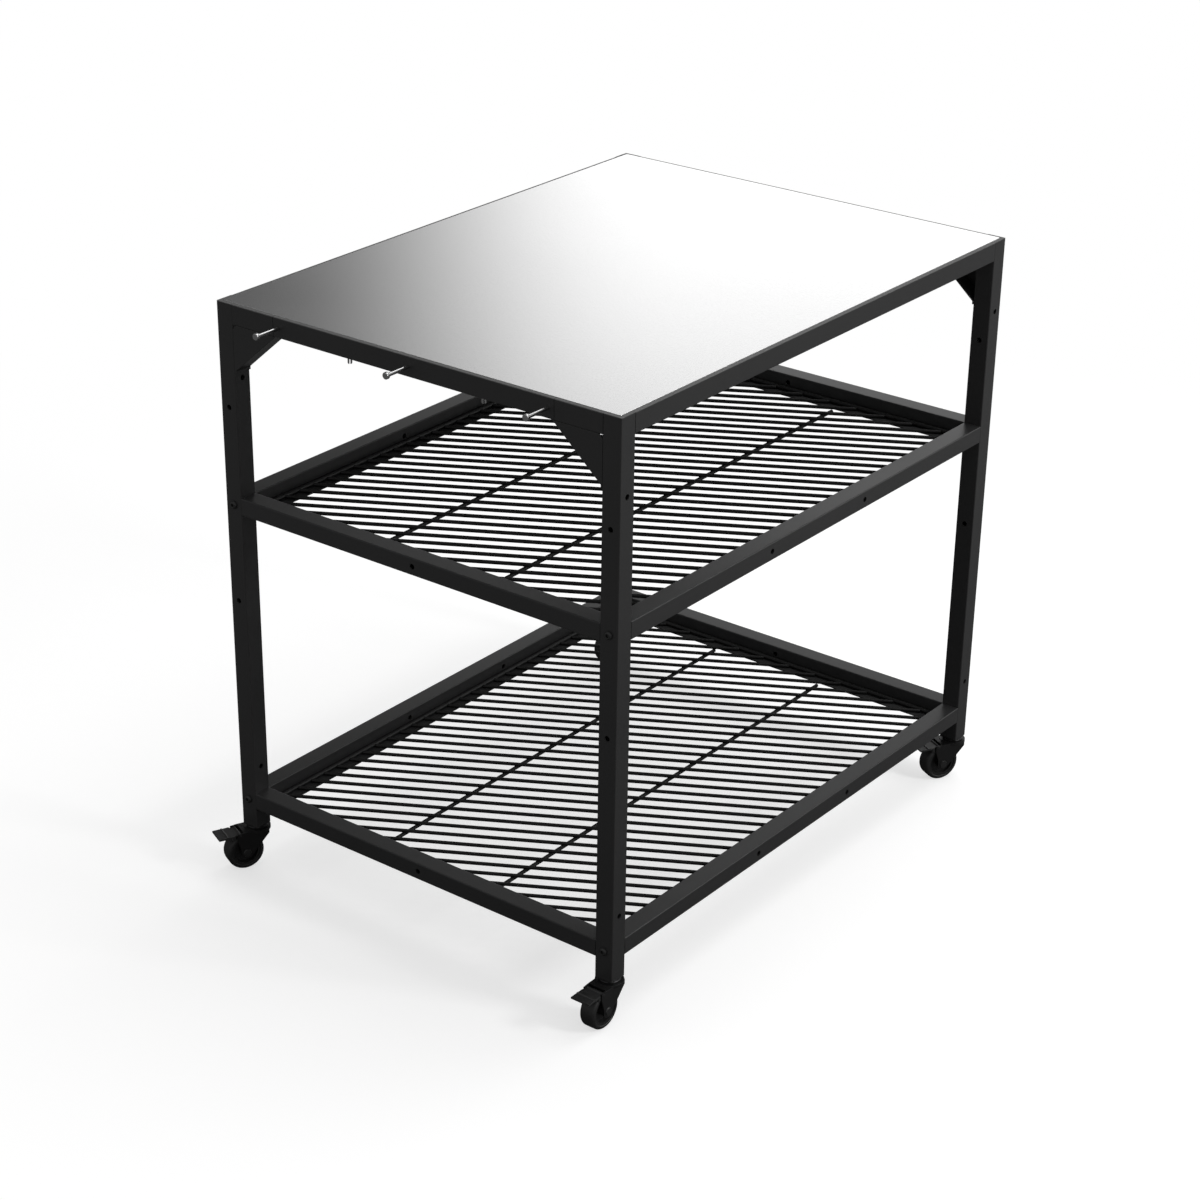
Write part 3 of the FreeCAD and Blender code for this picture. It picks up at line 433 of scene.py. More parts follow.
def settle(piece, shaded=False):
    """Turns a piece with modifiers into its plain mesh, and rounds its shading if it has none."""
    bpy.context.view_layer.update()
    graph = bpy.context.evaluated_depsgraph_get()
    mesh = bpy.data.meshes.new_from_object(piece.evaluated_get(graph), depsgraph=graph)
    mesh.name = piece.name
    piece.modifiers.clear()
    piece.data = mesh
    if not shaded:
        round_shading(mesh)


def round_shading(mesh):
    """Smooth shading, broken at sharp edges."""
    mesh.shade_smooth()
    mesh.set_sharp_from_angle(angle=SHARP)


def fit(piece, body, slot, *nodes):
    """Puts a finished piece on its body, in place of the nodes that it stands for."""
    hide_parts(*nodes)
    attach(piece, body)


def soften(piece, width):
    """Rounds a piece's sharp edges with a bevel, and keeps its flat faces flat."""
    round_shading(piece.data)
    edge = piece.modifiers.new("Edge", "BEVEL")
    edge.width = width
    edge.segments = 2
    edge.limit_method = "ANGLE"
    edge.angle_limit = BEVELLED
    edge.harden_normals = True


def softened_copy(node, name, width, change=Matrix.Identity(4)):
    """A copy of a CAD node with its edges rounded, in the node's place."""
    mesh = NODES[node].data.copy()
    mesh.name = name
    if "custom_normal" in mesh.attributes:
        mesh.attributes.remove(mesh.attributes["custom_normal"])
    work = bmesh.new()
    work.from_mesh(mesh)
    bmesh.ops.remove_doubles(work, verts=work.verts, dist=SAME_POINT)
    bmesh.ops.dissolve_limit(work, angle_limit=SAME_PLANE, verts=work.verts, edges=work.edges)
    work.to_mesh(mesh)
    work.free()
    mesh.transform(change)
    mesh.materials.clear()
    mesh.materials.append(FINISHES[SLOTS[node]]())
    piece = new_piece(name, mesh)
    soften(piece, width)
    settle(piece, shaded=True)
    fit(piece, NODES[node]["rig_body"], SLOTS[node], node)


def turned(name, rings, sides, place=Matrix.Identity(4)):
    """A solid about Z from rings of a radius and a height, and of their flats if they have any."""
    work = bmesh.new()
    rows = []
    for radius, height, *flats in rings:
        if radius == 0:
            rows.append([work.verts.new((0, 0, height))])
            continue
        row = []
        for step in range(sides):
            angle = 2 * pi * step / sides
            reach = radius
            if flats:
                reach = radius / cos(angle % (2 * pi / flats[0]) - pi / flats[0])
            row.append(work.verts.new((reach * cos(angle), reach * sin(angle), height)))
        rows.append(row)
    pairs = list(zip(rows, rows[1:]))
    if rings[0][0] > 0:
        pairs.append((rows[-1], rows[0]))
    for low, high in pairs:
        for step in range(sides):
            after = (step + 1) % sides
            corners = (low[step % len(low)], low[after % len(low)],
                       high[after % len(high)], high[step % len(high)])
            work.faces.new(list(dict.fromkeys(corners)))
    bmesh.ops.recalc_face_normals(work, faces=work.faces)
    mesh = bpy.data.meshes.new(name)
    work.to_mesh(mesh)
    work.free()
    mesh.transform(place)
    return mesh


def arc(centre, radius, start, end, steps):
    """Points of an arc, in pairs, from one angle in degrees to another."""
    angles = [radians(start + (end - start) * step / steps) for step in range(steps + 1)]
    return [(centre[0] + radius * cos(a), centre[1] + radius * sin(a)) for a in angles]


def new_geometry_tree(name, inputs):
    """A geometry tree with named inputs and a geometry output."""
    tree = bpy.data.node_groups.new(name, "GeometryNodeTree")
    tree.is_modifier = True
    for label, kind, default in inputs:
        socket = tree.interface.new_socket(name=label, in_out="INPUT", socket_type=kind)
        if default is not None:
            socket.default_value = default
    tree.interface.new_socket(name="Geometry", in_out="OUTPUT", socket_type="NodeSocketGeometry")
    return tree, add(tree, "NodeGroupInput", (-8, 0)), add(tree, "NodeGroupOutput", (12, 0))


def close_tree(tree, geometry, material, end):
    """Realizes what the tree made and gives it its material."""
    real = add(tree, "GeometryNodeRealizeInstances", (9, 0), {"Geometry": geometry})
    coated = add(tree, "GeometryNodeSetMaterial", (10, 0), {"Geometry": real.outputs[0],
                                                           "Material": material})
    tree.links.new(coated.outputs[0], end.inputs[0])


def grow(name, tree, values, base=None):
    """A piece made by a geometry tree with these inputs, as a plain mesh."""
    piece = new_piece(name, base or bpy.data.meshes.new(name))
    modifier = piece.modifiers.new(tree.name, "NODES")
    modifier.node_group = tree
    for item in tree.interface.items_tree:
        if item.in_out == "INPUT" and item.name in values:
            modifier[item.identifier] = values[item.name]
    settle(piece)
    return piece


def bar_row(tree, of, in_x, in_y, rise):
    """A point on the middle line for each bar, and how far along the line it is."""
    over = maths(tree, "MULTIPLY_ADD", in_x, rise, in_y, at=(-6, 2))
    each = maths(tree, "FLOOR", maths(tree, "DIVIDE", over, of["Pitch"], at=(-6, 1)), at=(-5, 1))
    count = maths(tree, "MULTIPLY_ADD", each, 2.0, 1.0, at=(-5, 2))
    low = maths(tree, "MULTIPLY", maths(tree, "MULTIPLY", each, of["Pitch"], at=(-5, 0)), -1.0,
                at=(-4, 0))
    first = add(tree, "ShaderNodeCombineXYZ", (-3, 0), {"Y": low})
    step = add(tree, "ShaderNodeCombineXYZ", (-3, -1), {"Y": of["Pitch"]})
    row = add(tree, "GeometryNodeMeshLine", (-2, 0), {
        "Count": count, "Start Location": first.outputs[0], "Offset": step.outputs[0]})
    here = add(tree, "ShaderNodeSeparateXYZ", (-3, -3),
               {0: add(tree, "GeometryNodeInputPosition", (-4, -3)).outputs[0]})
    return row.outputs[0], here.outputs["Y"]


def slanted_bars(tree, of, row, cross, in_x, in_y, rise):
    """A round bar through each point of the row, cut off where it meets the rim."""
    def meets(limit, at):
        """Where a bar reaches a short edge of the rim."""
        return maths(tree, "DIVIDE", maths(tree, "SUBTRACT", limit, cross, at=at), rise,
                     at=(at[0] + 1, at[1]))

    right = maths(tree, "MINIMUM", meets(in_y, (-2, -3)), in_x, at=(0, -3))
    minus_x = maths(tree, "MULTIPLY", in_x, -1.0, at=(-2, -5))
    minus_y = maths(tree, "MULTIPLY", in_y, -1.0, at=(-3, -5))
    left = maths(tree, "MAXIMUM", meets(minus_y, (-2, -4)), minus_x, at=(0, -4))
    run = maths(tree, "SUBTRACT", right, left, at=(1, -3))
    slope = maths(tree, "COSINE", of["Slant"], at=(0, -5))
    reach = maths(tree, "DIVIDE", run, slope, at=(2, -3))
    middle = maths(tree, "MULTIPLY", maths(tree, "ADD", right, left, at=(1, -4)), 0.5, at=(2, -4))
    along = maths(tree, "MULTIPLY_ADD", middle, rise, cross, at=(3, -4))
    bar_up = maths(tree, "MULTIPLY", maths(tree, "SUBTRACT", of["Bar"], of["Rim"], at=(2, -6)), 0.5,
                   at=(3, -6))
    kept = add(tree, "GeometryNodeCaptureAttribute", (3, 0))
    kept.capture_items.new("FLOAT", "Reach")
    tree.links.new(row, kept.inputs["Geometry"])
    tree.links.new(reach, kept.inputs["Reach"])
    spot = add(tree, "ShaderNodeCombineXYZ", (4, -4), {"X": middle, "Y": along, "Z": bar_up})
    moved = add(tree, "GeometryNodeSetPosition", (4, 0), {
        "Geometry": kept.outputs["Geometry"], "Position": spot.outputs[0]})
    short = add(tree, "FunctionNodeCompare", (4, 1), {0: kept.outputs["Reach"], 1: of["Bar"]},
                data_type="FLOAT", operation="LESS_THAN")
    bars = add(tree, "GeometryNodeDeleteGeometry", (5, 0), {
        "Geometry": moved.outputs[0], "Selection": short.outputs[0]})
    stick = add(tree, "GeometryNodeMeshCylinder", (3, 3), {
        "Vertices": of["Sides"], "Radius": maths(tree, "MULTIPLY", of["Bar"], 0.5, at=(2, 3)),
        "Depth": 1.0})
    laid = add(tree, "GeometryNodeTransform", (4, 3), {
        "Geometry": stick.outputs["Mesh"], "Rotation": (0, pi / 2, 0)})
    bearing = add(tree, "ShaderNodeCombineXYZ", (4, 2), {"Z": of["Slant"]})
    stretch = add(tree, "ShaderNodeCombineXYZ", (5, 2), {
        "X": kept.outputs["Reach"], "Y": 1.0, "Z": 1.0})
    placed = add(tree, "GeometryNodeInstanceOnPoints", (6, 0), {
        "Points": bars.outputs[0], "Instance": laid.outputs[0], "Rotation": bearing.outputs[0],
        "Scale": stretch.outputs[0]})
    return placed.outputs[0]


def rim_wire(tree, of):
    """A round rod bent tightly at the four corners."""
    ring = add(tree, "GeometryNodeCurvePrimitiveCircle", (-4, 6), {
        "Resolution": of["Sides"], "Radius": maths(tree, "MULTIPLY", of["Rim"], 0.5, at=(-5, 6))})
    outline = add(tree, "GeometryNodeCurvePrimitiveQuadrilateral", (-4, 5), {
        "Width": maths(tree, "MULTIPLY", of["Half Width"], 2.0, at=(-5, 5)),
        "Height": maths(tree, "MULTIPLY", of["Half Length"], 2.0, at=(-5, 4))})
    bent = add(tree, "GeometryNodeFilletCurve", (-3, 5), {
        "Curve": outline.outputs[0], "Radius": maths(tree, "MULTIPLY", of["Rim"], 0.8, at=(-4, 4)),
        "Count": 5}, mode="POLY")
    rim = add(tree, "GeometryNodeCurveToMesh", (-2, 5), {
        "Curve": bent.outputs[0], "Profile Curve": ring.outputs[0]})
    return rim.outputs[0]


def rods_and_welds(tree, of, row, cross, rise):
    """Two rods under the bars, and a weld spot where each bar crosses a rod."""
    parts = []
    ring = add(tree, "GeometryNodeCurvePrimitiveCircle", (-4, 7), {
        "Resolution": of["Sides"], "Radius": maths(tree, "MULTIPLY", of["Rod"], 0.5, at=(-5, 7))})
    both = maths(tree, "ADD", of["Rim"], of["Rod"], at=(-4, 8))
    rod_z = maths(tree, "MULTIPLY", both, -0.5, at=(-3, 8))
    minus_long = maths(tree, "MULTIPLY", of["Rod Half Length"], -1.0, at=(-5, 8))
    for sign in (-1, 1):
        lane = 7 + sign
        across = maths(tree, "MULTIPLY", of["Rod Place"], float(sign), at=(-4, lane))
        near = add(tree, "ShaderNodeCombineXYZ", (-2, lane), {
            "X": across, "Y": minus_long, "Z": rod_z})
        far = add(tree, "ShaderNodeCombineXYZ", (-1, lane), {
            "X": across, "Y": of["Rod Half Length"], "Z": rod_z})
        line = add(tree, "GeometryNodeCurvePrimitiveLine", (0, lane), {
            "Start": near.outputs[0], "End": far.outputs[0]})
        rod = add(tree, "GeometryNodeCurveToMesh", (1, lane), {
            "Curve": line.outputs[0], "Profile Curve": ring.outputs[0], "Fill Caps": True})
        parts.append(rod.outputs[0])
        weld_y = maths(tree, "MULTIPLY_ADD", across, rise, cross, at=(2, lane))
        weld_z = maths(tree, "MULTIPLY", of["Rim"], -0.5, at=(2, lane + 3))
        weld_at = add(tree, "ShaderNodeCombineXYZ", (3, lane), {
            "X": across, "Y": weld_y, "Z": weld_z})
        welds = add(tree, "GeometryNodeSetPosition", (4, lane), {
            "Geometry": row, "Position": weld_at.outputs[0]})
        past = add(tree, "FunctionNodeCompare", (5, lane), {
            0: maths(tree, "ABSOLUTE", cross, at=(4, lane + 3)), 1: of["Rod Half Length"]},
            data_type="FLOAT", operation="GREATER_THAN")
        welds = add(tree, "GeometryNodeDeleteGeometry", (6, lane), {
            "Geometry": welds.outputs[0], "Selection": past.outputs[0]})
        bead = add(tree, "GeometryNodeMeshUVSphere", (5, lane + 3), {
            "Segments": 8, "Rings": 5, "Radius": of["Spot"]})
        welds = add(tree, "GeometryNodeInstanceOnPoints", (7, lane), {
            "Points": welds.outputs[0], "Instance": bead.outputs["Mesh"], "Scale": (1, 1, 0.4)})
        parts.append(welds.outputs[0])
    return parts


def wires_tree():
    """A shelf's wires: rim, slanted bars cut off at the rim, rods below, and weld spots."""
    if "Shelf wires" in bpy.data.node_groups:
        return bpy.data.node_groups["Shelf wires"]
    tree, start, end = new_geometry_tree("Shelf wires", [
        ("Half Width", F, 0.27), ("Half Length", F, 0.37),
        ("Middle", "NodeSocketVector", (0, 0, 0)), ("Pitch", F, 0.025), ("Slant", F, 0.5),
        ("Bar", F, 0.005), ("Rim", F, 0.006), ("Rod", F, 0.005),
        ("Rod Place", F, 0.088), ("Rod Half Length", F, 0.35), ("Spot", F, 0.003),
        ("Sides", "NodeSocketInt", 12), ("Material", "NodeSocketMaterial", None)])
    of = start.outputs
    rise = maths(tree, "TANGENT", of["Slant"], at=(-7, 2))
    in_x = maths(tree, "MULTIPLY_ADD", of["Rim"], -0.5, of["Half Width"], at=(-7, 1))
    in_y = maths(tree, "MULTIPLY_ADD", of["Rim"], -0.5, of["Half Length"], at=(-7, 0))
    row, cross = bar_row(tree, of, in_x, in_y, rise)
    parts = [slanted_bars(tree, of, row, cross, in_x, in_y, rise), rim_wire(tree, of)]
    parts += rods_and_welds(tree, of, row, cross, rise)
    together = add(tree, "GeometryNodeJoinGeometry", (7, 0))
    for part in parts:
        tree.links.new(part, together.inputs[0])
    shifted = add(tree, "GeometryNodeTransform", (8, 0), {
        "Geometry": together.outputs[0], "Translation": of["Middle"]})
    close_tree(tree, shifted.outputs[0], of["Material"], end)
    return tree


def places_tree():
    """One small part repeated at places, each with its own turn about the upright."""
    if "Part at places" in bpy.data.node_groups:
        return bpy.data.node_groups["Part at places"]
    tree, start, end = new_geometry_tree("Part at places", [
        ("Places", "NodeSocketGeometry", None), ("Part", "NodeSocketObject", None),
        ("Material", "NodeSocketMaterial", None)])
    shape = add(tree, "GeometryNodeObjectInfo", (-4, -2), {"Object": start.outputs["Part"]})
    turn = add(tree, "GeometryNodeInputNamedAttribute", (-5, 2), {"Name": "turn"},
               data_type="FLOAT")
    bearing = add(tree, "ShaderNodeCombineXYZ", (-4, 2), {"Z": turn.outputs["Attribute"]})
    placed = add(tree, "GeometryNodeInstanceOnPoints", (0, 0), {
        "Points": start.outputs["Places"], "Instance": shape.outputs["Geometry"],
        "Rotation": bearing.outputs[0]})
    close_tree(tree, placed.outputs[0], start.outputs["Material"], end)
    return tree


def repeat(name, part, places, material):
    """A piece that repeats one small part at places, given as a point and a turn."""
    source = new_piece(name + "_part", part)
    spots = bpy.data.meshes.new(name)
    spots.from_pydata([spot for spot, turn in places], [], [])
    turns = spots.attributes.new("turn", "FLOAT", "POINT")
    turns.data.foreach_set("value", [turn for spot, turn in places])
    piece = grow(name, places_tree(), {"Part": source, "Material": material}, spots)
    bpy.data.objects.remove(source)
    if "turn" in piece.data.attributes:
        piece.data.attributes.remove(piece.data.attributes["turn"])
    return piece


class OVEN_OT_stage(bpy.types.Operator):
    """Make the camera, the pale floor, the room and the lamps"""

    bl_idname = "oven_table.stage"
    bl_label = "Stage"

    def execute(self, context):
        stage = context.scene.oven_stage
        context.scene.view_settings.view_transform = "Standard"
        self.camera(context, stage)
        self.floor(stage)
        self.room(context, stage)
        self.lamp("Overhead", stage.top, size=2.0, place=(0.3, 0.9, 3.1), target=(0.1, 0.0, 0.3))
        self.lamp("Side", stage.side, size=0.8, place=(3.52, 0.75, 2.3), target=(0.0, 0.0, 0.4))
        return {"FINISHED"}

    def camera(self, context, stage):
        """The camera at its place, turned, tilted and rolled."""
        back = Vector((sin(stage.turn) * cos(stage.tilt), -cos(stage.turn) * cos(stage.tilt),
                       sin(stage.tilt)))
        right = (-back).cross(Vector((0, 0, 1))).normalized()
        up = right.cross(-back)
        level = right * cos(stage.roll) + up * sin(stage.roll)
        upright = up * cos(stage.roll) - right * sin(stage.roll)
        data = bpy.data.cameras.new("Camera")
        data.sensor_width = 36
        data.lens = stage.lens
        data.shift_x = stage.shift
        data.shift_y = stage.shift
        data.clip_end = 60
        camera = bpy.data.objects.new("Camera", data)
        columns = Matrix((level, upright, back)).transposed().to_4x4()
        camera.matrix_world = Matrix.Translation(stage.place) @ columns
        context.scene.collection.objects.link(camera)
        context.scene.camera = camera

    def floor(self, stage):
        """White with the table's shadow for the camera, matt grey with a sheen for the table."""
        view_way = (0.63, 0.777, 0)
        seen, lifted = 0.53, 0.622  # colour and glow of the floor near the table
        white_from, white_at = 0.75, 2.1
        work = bmesh.new()
        bmesh.ops.create_grid(work, x_segments=1, y_segments=1, size=12)
        mesh = bpy.data.meshes.new("floor")
        work.to_mesh(mesh)
        work.free()
        floor = new_piece("floor", mesh)
        material = bpy.data.materials.new("Pale floor")
        material.use_nodes = True
        tree = material.node_tree
        tree.nodes.clear()
        where = add(tree, "ShaderNodeTexCoord", (-8, 0)).outputs["Object"]
        path = add(tree, "ShaderNodeLightPath", (-8, 3))
        far = add(tree, "ShaderNodeVectorMath", (-7, 1), {0: where}, operation="LENGTH")
        far = far.outputs["Value"]
        back = dot(tree, where, view_way, at=(-7, -1))
        around = ramp(tree, far, 0.3, 2.2, 0.0, 0.07, at=(-6, 1))
        wall = ramp(tree, back, 0.1, 1.9, 0.0, 0.045, at=(-6, -1))
        sheen = maths(tree, "MULTIPLY", maths(tree, "ADD", around, wall, at=(-5, 0)),
                      path.outputs["Is Glossy Ray"], at=(-4, 0))
        matt = add(tree, "ShaderNodeBsdfDiffuse", (-4, 2), {"Color": (*stage.floor, 1)})
        glow = add(tree, "ShaderNodeEmission", (-3, 0), {"Color": WHITE, "Strength": sheen})
        unseen = add(tree, "ShaderNodeAddShader", (-2, 1), {0: matt.outputs[0], 1: glow.outputs[0]})
        soft = add(tree, "ShaderNodeBsdfDiffuse", (-4, -2), {"Color": (seen, seen, seen, 1)})
        lift = add(tree, "ShaderNodeEmission", (-4, -3), {"Color": WHITE, "Strength": lifted})
        shade = add(tree, "ShaderNodeAddShader", (-3, -2), {0: soft.outputs[0], 1: lift.outputs[0]})
        white = add(tree, "ShaderNodeEmission", (-3, -4), {"Color": WHITE, "Strength": 1.0})
        fade = ramp(tree, far, white_from, white_at, 0.0, 1.0, at=(-6, -3))
        near = add(tree, "ShaderNodeMixShader", (-2, -2), {
            0: fade, 1: shade.outputs[0], 2: white.outputs[0]})
        mixed = add(tree, "ShaderNodeMixShader", (0, 0), {
            0: path.outputs["Is Camera Ray"], 1: unseen.outputs[0], 2: near.outputs[0]})
        out = add(tree, "ShaderNodeOutputMaterial", (1, 0))
        tree.links.new(mixed.outputs[0], out.inputs["Surface"])
        mesh.materials.append(material)

    def room(self, context, stage):
        """White for what the camera sees. Shiny surfaces see a bright low wall behind the table,
        a dim one behind on the left, and pale walls all round the rest."""
        left, darkest = radians(130.4), radians(147)
        past_left_end, past_right_end = (sin(left), -cos(left), 0), (-0.17, 0.985, 0)
        left_blur, right_blur = 0.07, 0.3
        wall_low, wall_high = 0.21, 0.535
        dark_way = (cos(darkest), sin(darkest), 0)
        pale_at, dark_at = 0.40, 0.80
        world = bpy.data.worlds.new("Room")
        context.scene.world = world
        world.use_nodes = True
        tree = world.node_tree
        tree.nodes.clear()
        heading = add(tree, "ShaderNodeTexCoord", (-8, 0)).outputs["Generated"]
        height = add(tree, "ShaderNodeSeparateXYZ", (-7, -2), {0: heading}).outputs["Z"]
        past_left = ramp(tree, dot(tree, heading, past_left_end, at=(-7, 0)),
                         -left_blur, left_blur, 0.0, 1.0, at=(-6, 0))
        past_right = ramp(tree, dot(tree, heading, past_right_end, at=(-7, -1)),
                          -right_blur, right_blur, 0.0, 1.0, at=(-6, -1))
        across = maths(tree, "MULTIPLY", past_left, past_right, at=(-5, 0))
        below = ramp(tree, height, wall_low, wall_high, 1.0, 0.0, at=(-6, -2))
        wall = maths(tree, "MULTIPLY", across, below, at=(-4, 0))
        behind = add(tree, "ShaderNodeMapRange", (-3, 1), {
            "Value": wall, "To Min": stage.dim, "To Max": stage.panel}).outputs[0]
        level = add(tree, "ShaderNodeVectorMath", (-7, 2), {0: heading, 1: (1, 1, 0)},
                    operation="MULTIPLY").outputs[0]
        level = add(tree, "ShaderNodeVectorMath", (-6, 2), {0: level},
                    operation="NORMALIZE").outputs[0]
        near_dark = dot(tree, level, dark_way, at=(-5, 2))
        around = ramp(tree, near_dark, pale_at, dark_at, stage.pale, 0.0, at=(-4, 2))
        walls = maths(tree, "MAXIMUM", behind, around, at=(-3, 2))
        path = add(tree, "ShaderNodeLightPath", (-6, 3))
        shiny = add(tree, "ShaderNodeBackground", (-2, 1), {"Color": WHITE, "Strength": walls})
        white = add(tree, "ShaderNodeBackground", (-2, 2), {"Color": WHITE, "Strength": 1.0})
        even = add(tree, "ShaderNodeBackground", (-2, -1), {"Color": WHITE, "Strength": stage.sky})
        clear = maths(tree, "MAXIMUM", path.outputs["Is Glossy Ray"],
                      path.outputs["Is Transmission Ray"], at=(-3, 3))
        first = add(tree, "ShaderNodeMixShader", (-1, 0), {
            0: clear, 1: even.outputs[0], 2: shiny.outputs[0]})
        second = add(tree, "ShaderNodeMixShader", (0, 0), {
            0: path.outputs["Is Camera Ray"], 1: first.outputs[0], 2: white.outputs[0]})
        out = add(tree, "ShaderNodeOutputWorld", (1, 0))
        tree.links.new(second.outputs[0], out.inputs["Surface"])

    def lamp(self, name, power, size, place, target):
        """A square lamp of a size that points at its target."""
        data = bpy.data.lights.new(name, "AREA")
        data.shape = "SQUARE"
        data.size = size
        data.energy = power
        lamp = bpy.data.objects.new(name, data)
        lamp.location = place
        lamp.rotation_euler = (Vector(target) - Vector(place)).to_track_quat("-Z", "Y").to_euler()
        bpy.context.scene.collection.objects.link(lamp)


class OVEN_OT_tubes(bpy.types.Operator):
    """Coat the legs, rails, sleeves and ledges"""

    bl_idname = "oven_table.tubes"
    bl_label = "Tube frame"

    def execute(self, context):
        for node, slot in SLOTS.items():
            if slot == "frame" and not node.startswith("gusset"):
                coat_node(node)
        return {"FINISHED"}


class OVEN_OT_gussets(bpy.types.Operator):
    """Round the edges of the folded corner gussets"""

    bl_idname = "oven_table.gussets"
    bl_label = "Gussets"

    def execute(self, context):
        width = context.scene.oven_sizes.fold_edge
        for corner in CORNERS:
            softened_copy(f"gusset_{corner}", f"folded_gusset_{corner}", width)
        return {"FINISHED"}


class OVEN_OT_worktop(bpy.types.Operator):
    """Make the stainless sheet with its eased edge, and finish the channels below"""

    bl_idname = "oven_table.worktop"
    bl_label = "Worktop"

    def execute(self, context):
        coat_node("worktop_stiffeners")
        sizes = context.scene.oven_sizes
        low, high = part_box("worktop_sheet")
        thin = Matrix.Diagonal((1, 1, sizes.sheet / (high.z - low.z), 1))
        thin = Matrix.Translation((0, 0, low.z)) @ thin @ Matrix.Translation((0, 0, -low.z))
        softened_copy("worktop_sheet", "stainless_sheet", sizes.sheet_edge, thin)
        return {"FINISHED"}


class OVEN_OT_grilles(bpy.types.Operator):
    """Make the wire grilles of both shelves"""

    bl_idname = "oven_table.grilles"
    bl_label = "Wire grilles"

    def execute(self, context):
        sizes = context.scene.oven_sizes
        ledge_width = 0.025
        for shelf in SHELVES:
            node = f"shelf_{shelf}_grille"
            low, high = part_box(node)
            ledge_low, ledge_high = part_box(f"shelf_{shelf}_ledge")
            middle = (low + high) / 2
            middle.z = high.z - sizes.rim / 2
            piece = grow(f"{shelf}_grille_wires", wires_tree(), {
                "Half Width": (high.x - low.x - sizes.rim) / 2,
                "Half Length": (high.y - low.y - sizes.rim) / 2,
                "Middle": middle,
                "Pitch": sizes.pitch,
                "Slant": sizes.slant,
                "Bar": sizes.wire,
                "Rim": sizes.rim,
                "Rod": sizes.rod,
                "Rod Place": sizes.under,
                "Rod Half Length": (ledge_high.y - ledge_low.y) / 2 - ledge_width,
                "Spot": sizes.nugget,
                "Sides": sizes.sides,
                "Material": wire_finish(),
            })
            fit(piece, "table", "grille", node)
        return {"FINISHED"}


class OVEN_OT_pegs(bpy.types.Operator):
    """Make the three headed hanging pegs"""

    bl_idname = "oven_table.pegs"
    bl_label = "Hanging pegs"

    def execute(self, context):
        sizes = context.scene.oven_sizes
        nodes = [f"peg_{place}" for place in ("left", "middle", "right")]
        low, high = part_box(nodes[0])
        long = high.y - low.y
        rod, head = sizes.peg_rod / 2, sizes.peg_head / 2
        deep, ease = 0.0045, 0.0009  # the head's thickness and the rounding of its edges
        neck = long - deep
        rings = [(0, 0), (rod - END_BEVEL, 0), (rod, END_BEVEL), (rod, neck - 0.0003)]
        rings += [(rod + 0.0003, neck), (head - ease, neck)]
        rings += arc((head - ease, neck + ease), ease, -75, 0, 4)
        rings += arc((head - ease, long - ease), ease, 0, 75, 4)
        rings += [(head * 0.45, long), (0, long - 0.0001)]
        part = turned("peg_shape", rings, 40, Matrix.Rotation(pi / 2, 4, "X"))
        places = []
        for node in nodes:
            near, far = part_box(node)
            middle = (near + far) / 2
            places.append(((middle.x, far.y, middle.z), 0.0))
        piece = repeat("hanging_pegs", part, places, plated_finish())
        fit(piece, "table", "bright_metal", *nodes)
        return {"FINISHED"}


class OVEN_OT_clips(bpy.types.Operator):
    """Make the split clips that hold the worktop"""

    bl_idname = "oven_table.clips"
    bl_label = "Worktop clips"

    def execute(self, context):
        sizes = context.scene.oven_sizes
        low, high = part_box("worktop_clips")
        part = self.clip(sizes.clip / 2, high.z - low.z, sizes.clip_slot / 2)
        side, end = (high.x - low.x - sizes.clip) / 2, (high.y - low.y - sizes.clip) / 2
        middle = (low + high) / 2
        slit_turn = radians(38)
        places = [((middle.x + x * side, middle.y + y * end, low.z), -slit_turn * y)
                  for x in (-1, 1) for y in (-1, 1)]
        piece = repeat("split_clips", part, places, plated_finish())
        fit(piece, "table", "bright_metal", "worktop_clips")
        return {"FINISHED"}

    def clip(self, radius, long, gap):
        """A pin with a rounded foot that is slit into two legs."""
        foot = radius * 0.55
        slit_deep = 0.0096
        rings = [(0, 0), (radius - foot, 0)] + arc((radius - foot, foot), foot, -75, 0, 5)
        rings += [(radius, long - END_BEVEL), (radius - END_BEVEL, long), (0, long)]
        pin = new_piece("clip_pin", turned("clip_pin", rings, 32))
        work = bmesh.new()
        bmesh.ops.create_cube(work, size=1)
        bmesh.ops.scale(work, vec=(2 * gap, 4 * radius, 2 * slit_deep), verts=work.verts)
        mesh = bpy.data.meshes.new("clip_slit")
        work.to_mesh(mesh)
        work.free()
        slit = new_piece("clip_slit", mesh)
        cut = pin.modifiers.new("Slit", "BOOLEAN")
        cut.object = slit
        cut.solver = "EXACT"
        soften(pin, SLIT_EDGE)
        settle(pin)
        part = pin.data
        bpy.data.objects.remove(slit)
        bpy.data.objects.remove(pin)
        return part


